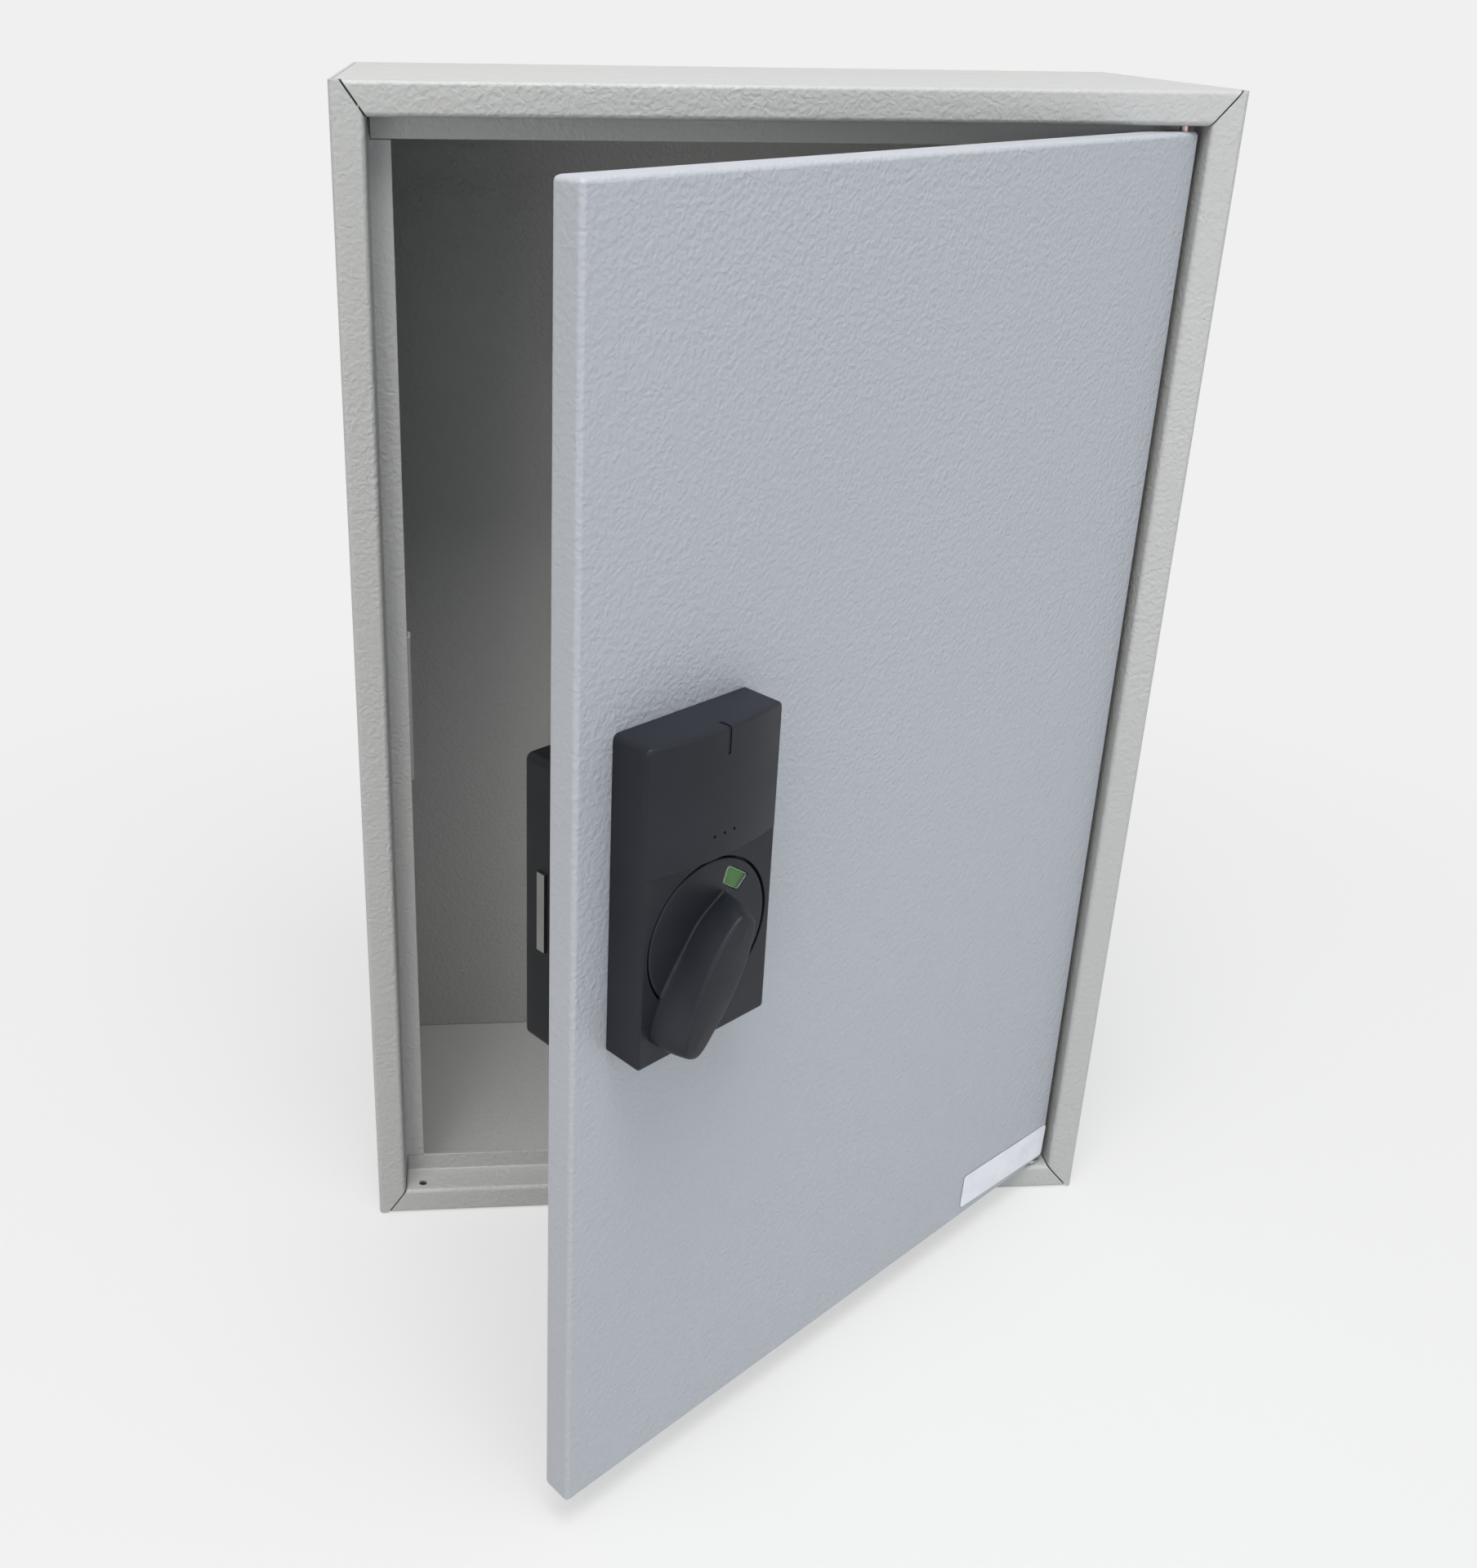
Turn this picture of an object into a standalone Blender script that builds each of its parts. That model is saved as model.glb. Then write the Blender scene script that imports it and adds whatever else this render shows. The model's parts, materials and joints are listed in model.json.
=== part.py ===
"""Wall-hung steel key cabinet with an electronic thumbturn lock, modelled as its separate pieces.

Metres, +Z up. The origin is the centre of the back face, which lies against the wall, and the
front faces -Y. The door stands open on its pivots, as the door_axis empty turns it.
"""
import math

import bmesh
import bpy
from mathutils import Matrix, Vector

# Cabinet body
WIDTH = 0.400
HEIGHT = 0.600
DEPTH = 0.180
BODY_SHEET = 0.0015
BACK_SHEET = 0.0015
BEND = 0.0008                # inside radius of every fold
SEAM = 0.0003                # gap between pieces that touch
OVERRUN = 0.002              # how far a cutter runs past what it cuts

# Front frame, folded from the body panels
FACE = 0.015                 # width of the frame seen from the front
REBATE = 0.0182              # depth of the step that the door lies in
STOP = 0.010                 # width of the flange that the door closes against
MITRE_START_LOCK = 0.0045    # where the corner joint starts, from the outer side
MITRE_START_HINGE = 0.0022
MITRE_GAP = 0.0010
RAIL_STEP = 0.006            # depth over which a rail's end steps in to its corner joint

# Door
DOOR_OPEN_ANGLE = 37.04      # degrees open, as it stands
DOOR_SHEET = 0.0012
DOOR_THICKNESS = 0.0152
DOOR_RECESS = 0.0019         # closed door's front, behind the frame's face
DOOR_FOLD = 0.0023           # outside radius of the door's folds
DOOR_RETURN = 0.012          # width of the lips folded in at the back
DOOR_GAP_LOCK = 0.0025
DOOR_GAP_ENDS = 0.0025
DOOR_HINGE_EDGE = 0.0056     # from the pivot to the door's hinge edge

# Pivots
PIVOT_INSET = 0.0096         # pivot to the wall of the rebate
PIVOT_DEPTH = 0.0068         # pivot behind the frame's face
PIN_RADIUS = 0.0020
PIN_HEAD_RADIUS = 0.0038
PIN_HEAD = 0.0014
PIN_REACH = 0.0072           # length of a pin inside the door
PIVOT_CLEARANCE = 0.0001
BUSH_RADIUS = 0.0026
BUSH_FLANGE_RADIUS = 0.0031
BUSH_FLANGE = 0.0012
BUSH_LENGTH = 0.0080
WASHER_RADIUS = 0.0046

# Lock on the outside of the door, placed from the thumbturn's axis
LOCK_BACKSET = 0.0530        # thumbturn axis from the door's free edge
LOCK_RISE = 0.0009           # thumbturn axis above the middle of the door
HOUSING_WIDTH = 0.0706
HOUSING_ABOVE = 0.0886
HOUSING_BELOW = 0.0492
HOUSING_DEPTH = 0.0185
HOUSING_CORNER = 0.0025
HOUSING_WALL = 0.002
CROWN_FROM = 0.0349          # lower border of the crowned face, above the axis
CROWN_RISE = 0.0044
CROWN_FLOOR = 0.0165         # underside of the crown, out from the door
HOUSING_EDGE = 0.0012        # rounding of the housing's front edges
RIB_FROM = 0.0325            # solid rib behind the crown's lower border
RIB_TO = 0.0405
KNOB_RADIUS = 0.0312
KNOB_GAP = 0.0010
KNOB_THICKNESS = 0.0022
RECESS_DEPTH = 0.0034
PLATE_THICKNESS = 0.0006
PLATE_BORE = 0.0070
LIGHT_OFFSET = 0.0023
LIGHT_THICKNESS = 0.0010
LIGHT_DROP = 0.0108
LIGHT_INSET = 0.0053
LIGHT_SINK = 0.0003
SOUND_HOLE_RADIUS = 0.0006
SOUND_HOLE_PITCH = 0.0054
SOUND_HOLE_OFFSET = 0.0021
SOUND_HOLE_RISE = 0.0449
SOUND_HOLE_DEPTH = 0.0025
BOARD_MARGIN = 0.0010        # board to the housing's walls
BOARD_THICKNESS = 0.0016

# Thumbturn
TURN_REST_ANGLE = 29.5       # degrees from straight down, towards the free edge
FIN_HEIGHT = 0.0161
FIN_LIFT = 0.0008            # underside of the fin above the housing's face
FIN_TIP = 0.0470
FIN_ROOT = 0.0180
FIN_BASE_WIDTH = 0.0234
FIN_CROWN_WIDTH = 0.0202
FIN_FOOT = 0.0280            # how far the fin is joined to the disc
WINDOW_RADIUS = 0.0240       # middle of the window, from the axis
WINDOW_ANGLE = 5.7           # degrees, from opposite the fin towards the hinge side
WINDOW_WIDTH = 0.0122        # along the middle's arc
WINDOW_HEIGHT = 0.0076
WINDOW_CORNER = 0.0015
SPINDLE = 0.0060
SPINDLE_SOCKET = 0.0026
SPINDLE_HOLE_RADIUS = 0.0050

# Lock case on the inside of the door
CHANNEL_WIDTH = 0.0900
CHANNEL_HEIGHT = 0.1180
CHANNEL_SHEET = 0.0012
CASE_SETBACK = 0.0109        # case from the door's free edge
CASE_WIDTH = 0.0950
CASE_BELOW = 0.0599
CASE_ABOVE = 0.0681
CASE_DEPTH = 0.0261
CASE_WALL = 0.0020
CASE_CORNER = 0.0030
CASE_EDGE = 0.0012
BASE_PLATE = 0.0015
CAM_RADIUS = 0.0130
CAM_THICKNESS = 0.0045
CRANK_RADIUS = 0.0100        # crank pin from the thumbturn's axis
CRANK_REST_ANGLE = 60.0      # degrees, from the hinge side, upwards
CRANK_PIN_RADIUS = 0.0022
CRANK_PIN_LENGTH = 0.0045
BOLT_FRONT = 0.0156          # bolt behind the door's folded lips' level
BOLT_THICKNESS = 0.0045
BOLT_BELOW = 0.0149
BOLT_ABOVE = 0.0201
BOLT_PROUD = 0.0012          # bolt's end past the case when drawn back
BOLT_LENGTH = 0.0580
BOLT_SLOT_PLAY = 0.0005
BOLT_SLOT_FROM = 0.0055
BOLT_SLOT_TO = 0.0131
CELL_RADIUS = 0.00725
CELL_LENGTH = 0.0500
CELL_CAP_RADIUS = 0.00275
CELL_CAP = 0.0010
CELL_PITCH = 0.0155
COVER_WIDTH = 0.0306
COVER_MARGIN = 0.0045
FIXING_RADIUS = 0.0020
FIXING_HEAD_RADIUS = 0.0036
FIXING_HEAD = 0.0024
FIXING_HOLE_RADIUS = 0.0024
FIXING_UPPER = 0.0365
FIXING_LOWER = 0.0425
FIXING_GRIP = 0.0080         # length of a fixing screw inside the housing
CASE_SCREW_RADIUS = 0.0015
CASE_SCREW_HEAD_RADIUS = 0.0030
CASE_SCREW_HEAD = 0.0016
CASE_SCREW_INSET = 0.0090
CASE_SCREW_HOLE_RADIUS = 0.0018

# Strike behind the frame's flange, on the lock side
STRIKE_SHEET = 0.0015
STRIKE_PROUD = 0.0014        # past the flange's edge
STRIKE_SIDE = 0.0094         # width of each leg
STRIKE_BOLT_GAP = 0.0005
STRIKE_ABOVE = 0.0396
STRIKE_BELOW = 0.0389

# Stiffener inside the door
STIFFENER_WIDTH = 0.0300
STIFFENER_DEPTH = 0.0085
STIFFENER_SHEET = 0.0012
STIFFENER_MARGIN = 0.030     # short of the door's folded ends
STIFFENER_PLACE = 0.100      # centre line, from the middle of the door towards the hinge

# Key rack on the back panel
RACK_HALF_WIDTH = 0.093
UPRIGHT_PLACE = 0.060
UPRIGHT_WIDTH = 0.016
UPRIGHT_DEPTH = 0.009
UPRIGHT_SHEET = 0.0012
UPRIGHT_HALF_HEIGHT = 0.215
SLOT_PITCH = 0.020
SLOT_WIDTH = 0.0032
SLOT_HEIGHT = 0.0100
SLOT_END_MARGIN = 0.012
BAR_COUNT = 5
BAR_PITCH_SLOTS = 4          # slots from one hook bar to the next
BAR_HEIGHT = 0.022
BAR_SHEET = 0.0015
BAR_LUG_WIDTH = 0.0020
BAR_LUG_HEIGHT = 0.0080
BAR_LUG_REACH = 0.0035
HOOK_COUNT = 6
HOOK_PITCH = 0.0300
HOOK_WIDTH = 0.0050
HOOK_LENGTH = 0.0190
HOOK_ANGLE = 32.0            # degrees above level
HOOK_ROOT = 0.0050           # above the bar's lower edge
HOOK_WINDOW_SIDE = 0.0006
HOOK_WINDOW_HEIGHT = 0.0125

# Holes for the wall fixings
WALL_HOLE_RADIUS = 0.0042
WALL_HOLE_SIDE = 0.080
WALL_HOLE_MARGIN = 0.075     # from the cabinet's top and bottom

# Identity label, blank
LABEL_WIDTH = 0.0770
LABEL_HEIGHT = 0.0205
LABEL_THICKNESS = 0.0003
LABEL_CORNER = 0.0020
LABEL_RISE = 0.0155          # centre above the door's lower edge
LABEL_TILT = -2.6            # degrees, right end low

# Shape of the thumbturn's fin
# Outlines at the base and at the crown: share of the way from root to tip, share of the half width.
FIN_BASE_SHARES = ((0.0, 0.07), (0.11, 0.23), (0.21, 0.41), (0.35, 0.62), (0.47, 0.82), (0.59, 0.93),
                   (0.70, 1.0), (0.81, 0.97), (0.91, 0.87), (0.98, 0.75), (1.0, 0.56))
FIN_CROWN_SHARES = ((0.0, 0.15), (0.03, 0.54), (0.10, 0.75), (0.21, 0.86), (0.33, 0.94), (0.45, 1.0),
                    (0.58, 0.99), (0.70, 0.91), (0.83, 0.78), (0.95, 0.66), (1.0, 0.42))
# From the base up: share of the height, of the change from base to crown, of the root, tip and width.
FIN_RING_SHARES = ((0.0, 0.0, 1.0, 1.0, 1.0), (0.40, 0.40, 0.99, 1.005, 1.0), (0.80, 0.80, 0.965, 1.0, 1.0),
                   (0.95, 0.95, 0.89, 0.985, 1.0), (1.0, 1.0, 0.79, 0.96, 0.94))
FOOT_WIDTH_SHARE = 0.95      # how much of the fin's base its foot takes up
SCREW_CROWN_SHARE = 0.25     # how much narrower a screw head is at its top

# Facets
BEND_STEPS = 3
CORNER_STEPS = 4
CROWN_STEPS = 14
ROUND_SIDES = 24
DISC_SIDES = 48

# Worked out from the sizes above
HALF_WIDTH = WIDTH / 2
HALF_HEIGHT = HEIGHT / 2
FRONT_Y = -DEPTH
PIVOT_X = HALF_WIDTH - FACE - PIVOT_INSET
PIVOT_Y = FRONT_Y + PIVOT_DEPTH
DOOR_FRONT = DOOR_RECESS - PIVOT_DEPTH
DOOR_REAR = DOOR_FRONT + DOOR_THICKNESS
DOOR_FREE_EDGE = -HALF_WIDTH + FACE + DOOR_GAP_LOCK - PIVOT_X
DOOR_TOP = HALF_HEIGHT - FACE - DOOR_GAP_ENDS
DOOR_BOTTOM = -DOOR_TOP
LOCK_X = DOOR_FREE_EDGE + LOCK_BACKSET
LOCK_Z = LOCK_RISE
CASE_X0 = DOOR_FREE_EDGE + CASE_SETBACK
CASE_X1 = CASE_X0 + CASE_WIDTH
CASE_Z0 = LOCK_Z - CASE_BELOW
CASE_Z1 = LOCK_Z + CASE_ABOVE
CASE_Y0 = DOOR_REAR + SEAM
CASE_Y1 = CASE_Y0 + CASE_DEPTH
BASE_Y1 = CASE_Y0 + BASE_PLATE
BOLT_Y0 = CASE_Y0 + BOLT_FRONT - CASE_WALL - SEAM
BOLT_Y1 = BOLT_Y0 + BOLT_THICKNESS
BOLT_X0 = CASE_X0 - BOLT_PROUD
CAM_Y1 = BOLT_Y0 - SEAM
CAM_Y0 = CAM_Y1 - CAM_THICKNESS
RACK_Y = -BACK_SHEET - SEAM - UPRIGHT_DEPTH
BAR_Y = RACK_Y - SEAM - BAR_SHEET


def material(name, colour, roughness, metallic=0.0, alpha=1.0):
    """Make a Principled material."""
    made = bpy.data.materials.new(name)
    made.use_nodes = True
    shader = made.node_tree.nodes["Principled BSDF"]
    shader.inputs["Base Color"].default_value = (*colour, 1.0)
    shader.inputs["Roughness"].default_value = roughness
    shader.inputs["Metallic"].default_value = metallic
    shader.inputs["Alpha"].default_value = alpha
    return made


def empty(name, parent, place, turn=None):
    """Add an empty that stands on an axis and carries the pieces parented to it."""
    made = bpy.data.objects.new(name, None)
    bpy.context.scene.collection.objects.link(made)
    made.parent = parent
    made.location = place
    if turn:
        made.rotation_euler = turn
    return made


def piece(name, mesh_source, finish, parent=None):
    """Make one object from a bmesh, with its faces pointing out."""
    bmesh.ops.recalc_face_normals(mesh_source, faces=mesh_source.faces)
    mesh = bpy.data.meshes.new(name)
    mesh_source.to_mesh(mesh)
    mesh_source.free()
    made = bpy.data.objects.new(name, mesh)
    bpy.context.scene.collection.objects.link(made)
    made.parent = parent
    if finish:
        mesh.materials.append(finish)
    return made


def smooth(made, angle=35.0):
    """Shade a round piece smooth between its sharp edges."""
    made.data.shade_smooth()
    made.data.set_sharp_from_angle(angle=math.radians(angle))
    return made


def cutter(name, mesh_source, parent=None):
    """Make a solid that is only taken away from others."""
    made = piece(name, mesh_source, None, parent)
    made.hide_render = True
    made.display_type = "WIRE"
    return made


def combine(target, others, operation="DIFFERENCE"):
    """Cut others from the target, or join them to it."""
    for other in others:
        change = target.modifiers.new(other.name, "BOOLEAN")
        change.operation = operation
        change.object = other
    return target


def from_faces(points, faces):
    """Build a bmesh from points and faces."""
    made = bmesh.new()
    corners = [made.verts.new(point) for point in points]
    for face in faces:
        made.faces.new([corners[index] for index in face])
    return made


def join(parts):
    """Put several bmeshes in one, as separate shells."""
    made = bmesh.new()
    for part in parts:
        mesh = bpy.data.meshes.new("join")
        part.to_mesh(mesh)
        part.free()
        made.from_mesh(mesh)
        bpy.data.meshes.remove(mesh)
    return made


def block(low, high):
    """A box between two corners."""
    return prism([(low[0], low[1]), (high[0], low[1]), (high[0], high[1]), (low[0], high[1])], low[2], high[2])


def prism(outline, low, high, axes="XYZ"):
    """Extrude an outline, drawn in the first two axes, along the third from low to high."""
    order = ["XYZ".index(axis) for axis in axes]
    points = []
    for level in (low, high):
        for across, up in outline:
            point = [0.0, 0.0, 0.0]
            point[order[0]] = across
            point[order[1]] = up
            point[order[2]] = level
            points.append(point)
    count = len(outline)
    faces = [list(range(count)), list(range(2 * count - 1, count - 1, -1))]
    for index in range(count):
        following = (index + 1) % count
        faces.append([index, index + count, following + count, following])
    return from_faces(points, faces)


def loft(rings):
    """Join closed rings of points, one after another, and cap both ends."""
    count = len(rings[0])
    points = [point for ring in rings for point in ring]
    faces = [list(range(count)), list(range(len(points) - 1, len(points) - count - 1, -1))]
    for step in range(len(rings) - 1):
        for index in range(count):
            following = (index + 1) % count
            low = step * count
            faces.append([low + index, low + count + index, low + count + following, low + following])
    return from_faces(points, faces)


def turned(profile, sides=ROUND_SIDES, centre=(0.0, 0.0)):
    """Turn a profile of (radius, height) about an axis along Z, closed at both ends."""
    rings = []
    for radius, height in profile:
        ring = []
        for index in range(sides):
            angle = 2 * math.pi * index / sides
            ring.append((centre[0] + radius * math.cos(angle), centre[1] + radius * math.sin(angle), height))
        rings.append(ring)
    return loft(rings)


def tube(outer, inner, low, high, sides=ROUND_SIDES):
    """A ring of even wall between two levels."""
    points = []
    for radius, level in ((outer, low), (outer, high), (inner, high), (inner, low)):
        for index in range(sides):
            angle = 2 * math.pi * index / sides
            points.append((radius * math.cos(angle), radius * math.sin(angle), level))
    faces = []
    for ring in range(4):
        for index in range(sides):
            following = (index + 1) % sides
            start = ring * sides
            end = (ring + 1) % 4 * sides
            faces.append([start + index, end + index, end + following, start + following])
    return from_faces(points, faces)


def rounded(width, height, radius, centre=(0.0, 0.0), steps=CORNER_STEPS):
    """Outline of a rectangle with round corners."""
    outline = []
    corners = ((1, 1, 0), (-1, 1, 90), (-1, -1, 180), (1, -1, 270))
    for side, rise, first in corners:
        for step in range(steps + 1):
            angle = math.radians(first + 90 * step / steps)
            outline.append((centre[0] + side * (width / 2 - radius) + radius * math.cos(angle),
                            centre[1] + rise * (height / 2 - radius) + radius * math.sin(angle)))
    return outline


def channel_outline(width, depth, sheet):
    """Outline of a U section, its web on top and its legs reaching down to zero."""
    return [(-width / 2, 0), (-width / 2, depth), (width / 2, depth), (width / 2, 0),
            (width / 2 - sheet, 0), (width / 2 - sheet, depth - sheet),
            (-width / 2 + sheet, depth - sheet), (-width / 2 + sheet, 0)]


def folded_strip(path, sheet):
    """Follow a path of (point) corners and give pairs of (seen, hidden, leg) with round folds.

    The sheet's thickness lies to the left of the path. A leg is the number of the straight run,
    with the part of a fold as its fraction.
    """
    path = [Vector(point) for point in path]
    pairs = []
    for index, corner in enumerate(path):
        before = (corner - path[index - 1]).normalized() if index else None
        after = (path[index + 1] - corner).normalized() if index + 1 < len(path) else None
        run = before or after
        left = Vector((-run.y, run.x))
        turn = before.x * after.y - before.y * after.x if before and after else 0
        if turn == 0:
            pairs.append((corner, corner + left * sheet, float(max(index - 1, 0))))
            continue
        side = 1 if turn > 0 else -1
        seen_radius = BEND + sheet if side > 0 else BEND
        hidden_radius = BEND if side > 0 else BEND + sheet
        start = corner - before * seen_radius
        centre = start + left * side * seen_radius
        for step in range(BEND_STEPS + 1):
            angle = side * math.pi / 2 * step / BEND_STEPS
            arm = -side * left
            arm = Vector((arm.x * math.cos(angle) - arm.y * math.sin(angle),
                          arm.x * math.sin(angle) + arm.y * math.cos(angle)))
            pairs.append((centre + arm * seen_radius, centre + arm * hidden_radius,
                          index - 1 + step / BEND_STEPS))
    return pairs


def strip_solid(pairs, place):
    """Make a folded strip solid; place(point, leg, end) gives a point's position at either end."""
    rings = []
    for end in (0, 1):
        seen = [place(pair[0], pair[2], end) for pair in pairs]
        hidden = [place(pair[1], pair[2], end) for pair in pairs]
        rings.append(seen + hidden[::-1])
    count = len(pairs)
    total = 2 * count
    points = rings[0] + rings[1]
    faces = []
    for index in range(total):
        following = (index + 1) % total
        faces.append([index, following, following + total, index + total])
    for index in range(count - 1):
        mate = total - 1 - index
        faces.append([index, index + 1, mate - 1, mate])
        faces.append([total + index, total + mate, total + mate - 1, total + index + 1])
    return from_faces(points, faces)


# Frame and body

# Points are (in from the outer side, back from the front face). The legs are wall 0 and 1,
# face 2 and 3, rebate 4 and flange 5: a plain point splits the wall and another the face.
def panel_section(mitre_start):
    """The folded section that all four body panels share."""
    return folded_strip([(0, DEPTH), (0, RAIL_STEP), (0, 0), (mitre_start, 0), (FACE, 0),
                         (FACE, REBATE), (FACE + STOP, REBATE)], BODY_SHEET)


FACE_LEG = 2
REBATE_LEG = 4
FLANGE_LEG = 5


def side_end(inward, leg, mitre_start):
    """How far a side panel's end is cut back at a point of its section."""
    if leg > REBATE_LEG:
        return FACE + (STOP + SEAM) * (leg - REBATE_LEG)
    if leg < 1 or inward <= mitre_start:
        return 0.0
    return (inward - mitre_start) * FACE / (FACE - mitre_start)


def rail_end(inward, leg, depth, mitre_start):
    """How far a top or bottom panel's end stands in from the cabinet's side."""
    if leg <= 1 and depth >= RAIL_STEP:
        return BODY_SHEET + SEAM
    mitre = mitre_start + min(inward, FACE) * (FACE - mitre_start) / FACE + MITRE_GAP
    if leg > REBATE_LEG:
        flange = FACE + BEND + SEAM
        return mitre + (flange - mitre) * (leg - REBATE_LEG)
    return mitre


def side_panel(name, side, mitre_start, finish):
    """One side wall with its part of the front frame; side is -1 for the lock side."""
    def place(point, leg, end):
        reach = HALF_HEIGHT - side_end(point.x, leg, mitre_start)
        return (side * (HALF_WIDTH - point.x), FRONT_Y + point.y, reach if end else -reach)
    return piece(name, strip_solid(panel_section(mitre_start), place), finish)


def rail_panel(name, rise, finish):
    """The top or the bottom, with its part of the front frame; rise is 1 for the top."""
    def place(point, leg, end):
        start = MITRE_START_HINGE if end else MITRE_START_LOCK
        reach = HALF_WIDTH - rail_end(point.x, leg, point.y, start)
        return (reach if end else -reach, FRONT_Y + point.y, rise * (HALF_HEIGHT - point.x))
    made = piece(name, strip_solid(panel_section(MITRE_START_LOCK), place), finish)
    holes = []
    surface = HALF_HEIGHT - FACE
    for side in (-1, 1):
        low = rise * surface - (BODY_SHEET + OVERRUN)
        high = rise * surface + (BODY_SHEET + OVERRUN)
        hole = turned([(PIN_RADIUS + SEAM / 2, low), (PIN_RADIUS + SEAM / 2, high)], ROUND_SIDES,
                      (side * PIVOT_X, PIVOT_Y))
        holes.append(cutter(f"{name}_hole_{side + 1}", hole))
    return combine(made, holes)


def back_panel(finish):
    """The flat back between the four walls, with its wall fixing holes."""
    across = HALF_WIDTH - BODY_SHEET - SEAM
    up = HALF_HEIGHT - BODY_SHEET - SEAM
    made = piece("back_panel", block((-across, -BACK_SHEET, -up), (across, 0, up)), finish)
    holes = []
    for side in (-1, 1):
        for rise in (-1, 1):
            outline = [(side * WALL_HOLE_SIDE + WALL_HOLE_RADIUS * math.cos(2 * math.pi * index / ROUND_SIDES),
                        rise * (HALF_HEIGHT - WALL_HOLE_MARGIN)
                        + WALL_HOLE_RADIUS * math.sin(2 * math.pi * index / ROUND_SIDES))
                       for index in range(ROUND_SIDES)]
            holes.append(prism(outline, -BACK_SHEET - OVERRUN, OVERRUN, "XZY"))
    return combine(made, [cutter("wall_holes", join(holes))])


def strike_bracket(finish):
    """Folded strike welded behind the lock side's flange; the bolt passes behind its rear leg."""
    front = REBATE + BODY_SHEET + SEAM
    rear = PIVOT_DEPTH + BOLT_Y0 - STRIKE_BOLT_GAP
    edge = FACE + STOP + STRIKE_PROUD
    path = [(edge - STRIKE_SIDE, rear), (edge, rear), (edge, front), (edge - STRIKE_SIDE, front)]
    pairs = folded_strip(path[::-1], STRIKE_SHEET)

    def place(point, leg, end):
        height = LOCK_Z + (STRIKE_ABOVE if end else -STRIKE_BELOW)
        return (-HALF_WIDTH + point.x, FRONT_Y + point.y, height)
    return piece("strike_bracket", strip_solid(pairs, place), finish)


def hinge_pin(name, rise, finish):
    """Headed pin, put through a rail from its hidden side into the door."""
    rail = HALF_HEIGHT - FACE
    tip = DOOR_TOP - PIN_REACH
    seat = rail + BODY_SHEET + SEAM
    profile = [(PIN_RADIUS, tip), (PIN_RADIUS, seat), (PIN_HEAD_RADIUS, seat), (PIN_HEAD_RADIUS, seat + PIN_HEAD)]
    made = turned([(radius, rise * height) for radius, height in profile], ROUND_SIDES, (PIVOT_X, PIVOT_Y))
    return smooth(piece(name, made, finish))


def hinge_washer(finish):
    """Washer that carries the door on the bottom rail."""
    low = -HALF_HEIGHT + FACE + SEAM
    high = DOOR_BOTTOM - SEAM
    made = smooth(piece("hinge_washer", tube(WASHER_RADIUS, PIN_RADIUS + PIVOT_CLEARANCE, low, high), finish))
    made.location = (PIVOT_X, PIVOT_Y, 0)
    return made


# Key rack

def rack_upright(name, side, finish):
    """Slotted channel on the back panel that the hook bars hang in."""
    base = -BACK_SHEET - SEAM
    outline = [(side * UPRIGHT_PLACE + across, base - out)
               for across, out in channel_outline(UPRIGHT_WIDTH, UPRIGHT_DEPTH, UPRIGHT_SHEET)]
    made = piece(name, prism(outline, -UPRIGHT_HALF_HEIGHT, UPRIGHT_HALF_HEIGHT), finish)
    slots = []
    steps = int((UPRIGHT_HALF_HEIGHT - SLOT_END_MARGIN) / SLOT_PITCH)
    for step in range(-steps, steps + 1):
        slots.append(block((side * UPRIGHT_PLACE - SLOT_WIDTH / 2, RACK_Y - OVERRUN, step * SLOT_PITCH - SLOT_HEIGHT / 2),
                           (side * UPRIGHT_PLACE + SLOT_WIDTH / 2, RACK_Y + UPRIGHT_SHEET + OVERRUN,
                            step * SLOT_PITCH + SLOT_HEIGHT / 2)))
    return combine(made, [cutter(f"{name}_slots", join(slots))])


def hook_bar_mesh():
    """Punched bar with its hooks bent up out of it and a lug for each upright."""
    low = -BAR_HEIGHT / 2
    bar = piece("bar_blank", block((-RACK_HALF_WIDTH, BAR_Y, low), (RACK_HALF_WIDTH, BAR_Y + BAR_SHEET, -low)), None)
    windows = []
    tongues = []
    angle = math.radians(HOOK_ANGLE)
    run = Vector((-math.cos(angle), math.sin(angle)))
    rise = Vector((math.sin(angle), math.cos(angle)))
    root = Vector((BAR_Y + BAR_SHEET / 2, low + HOOK_ROOT))
    for index in range(HOOK_COUNT):
        centre = (index - (HOOK_COUNT - 1) / 2) * HOOK_PITCH
        half = HOOK_WIDTH / 2
        windows.append(block((centre - half - HOOK_WINDOW_SIDE, BAR_Y - OVERRUN, low + HOOK_ROOT),
                             (centre + half + HOOK_WINDOW_SIDE, BAR_Y + BAR_SHEET + OVERRUN,
                              low + HOOK_ROOT + HOOK_WINDOW_HEIGHT)))
        corners = [root - rise * BAR_SHEET / 2, root + run * HOOK_LENGTH - rise * BAR_SHEET / 2,
                   root + run * HOOK_LENGTH + rise * BAR_SHEET / 2, root + rise * BAR_SHEET / 2]
        tongues.append(prism([tuple(corner) for corner in corners], centre - half, centre + half, "YZX"))
    lugs = [block((side * UPRIGHT_PLACE - BAR_LUG_WIDTH / 2, BAR_Y + BAR_SHEET / 2, -BAR_LUG_HEIGHT / 2),
                  (side * UPRIGHT_PLACE + BAR_LUG_WIDTH / 2, BAR_Y + BAR_SHEET + BAR_LUG_REACH, BAR_LUG_HEIGHT / 2))
            for side in (-1, 1)]
    return bar, cutter("hook_windows", join(windows)), cutter("hook_tongues", join(tongues + lugs))


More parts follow.
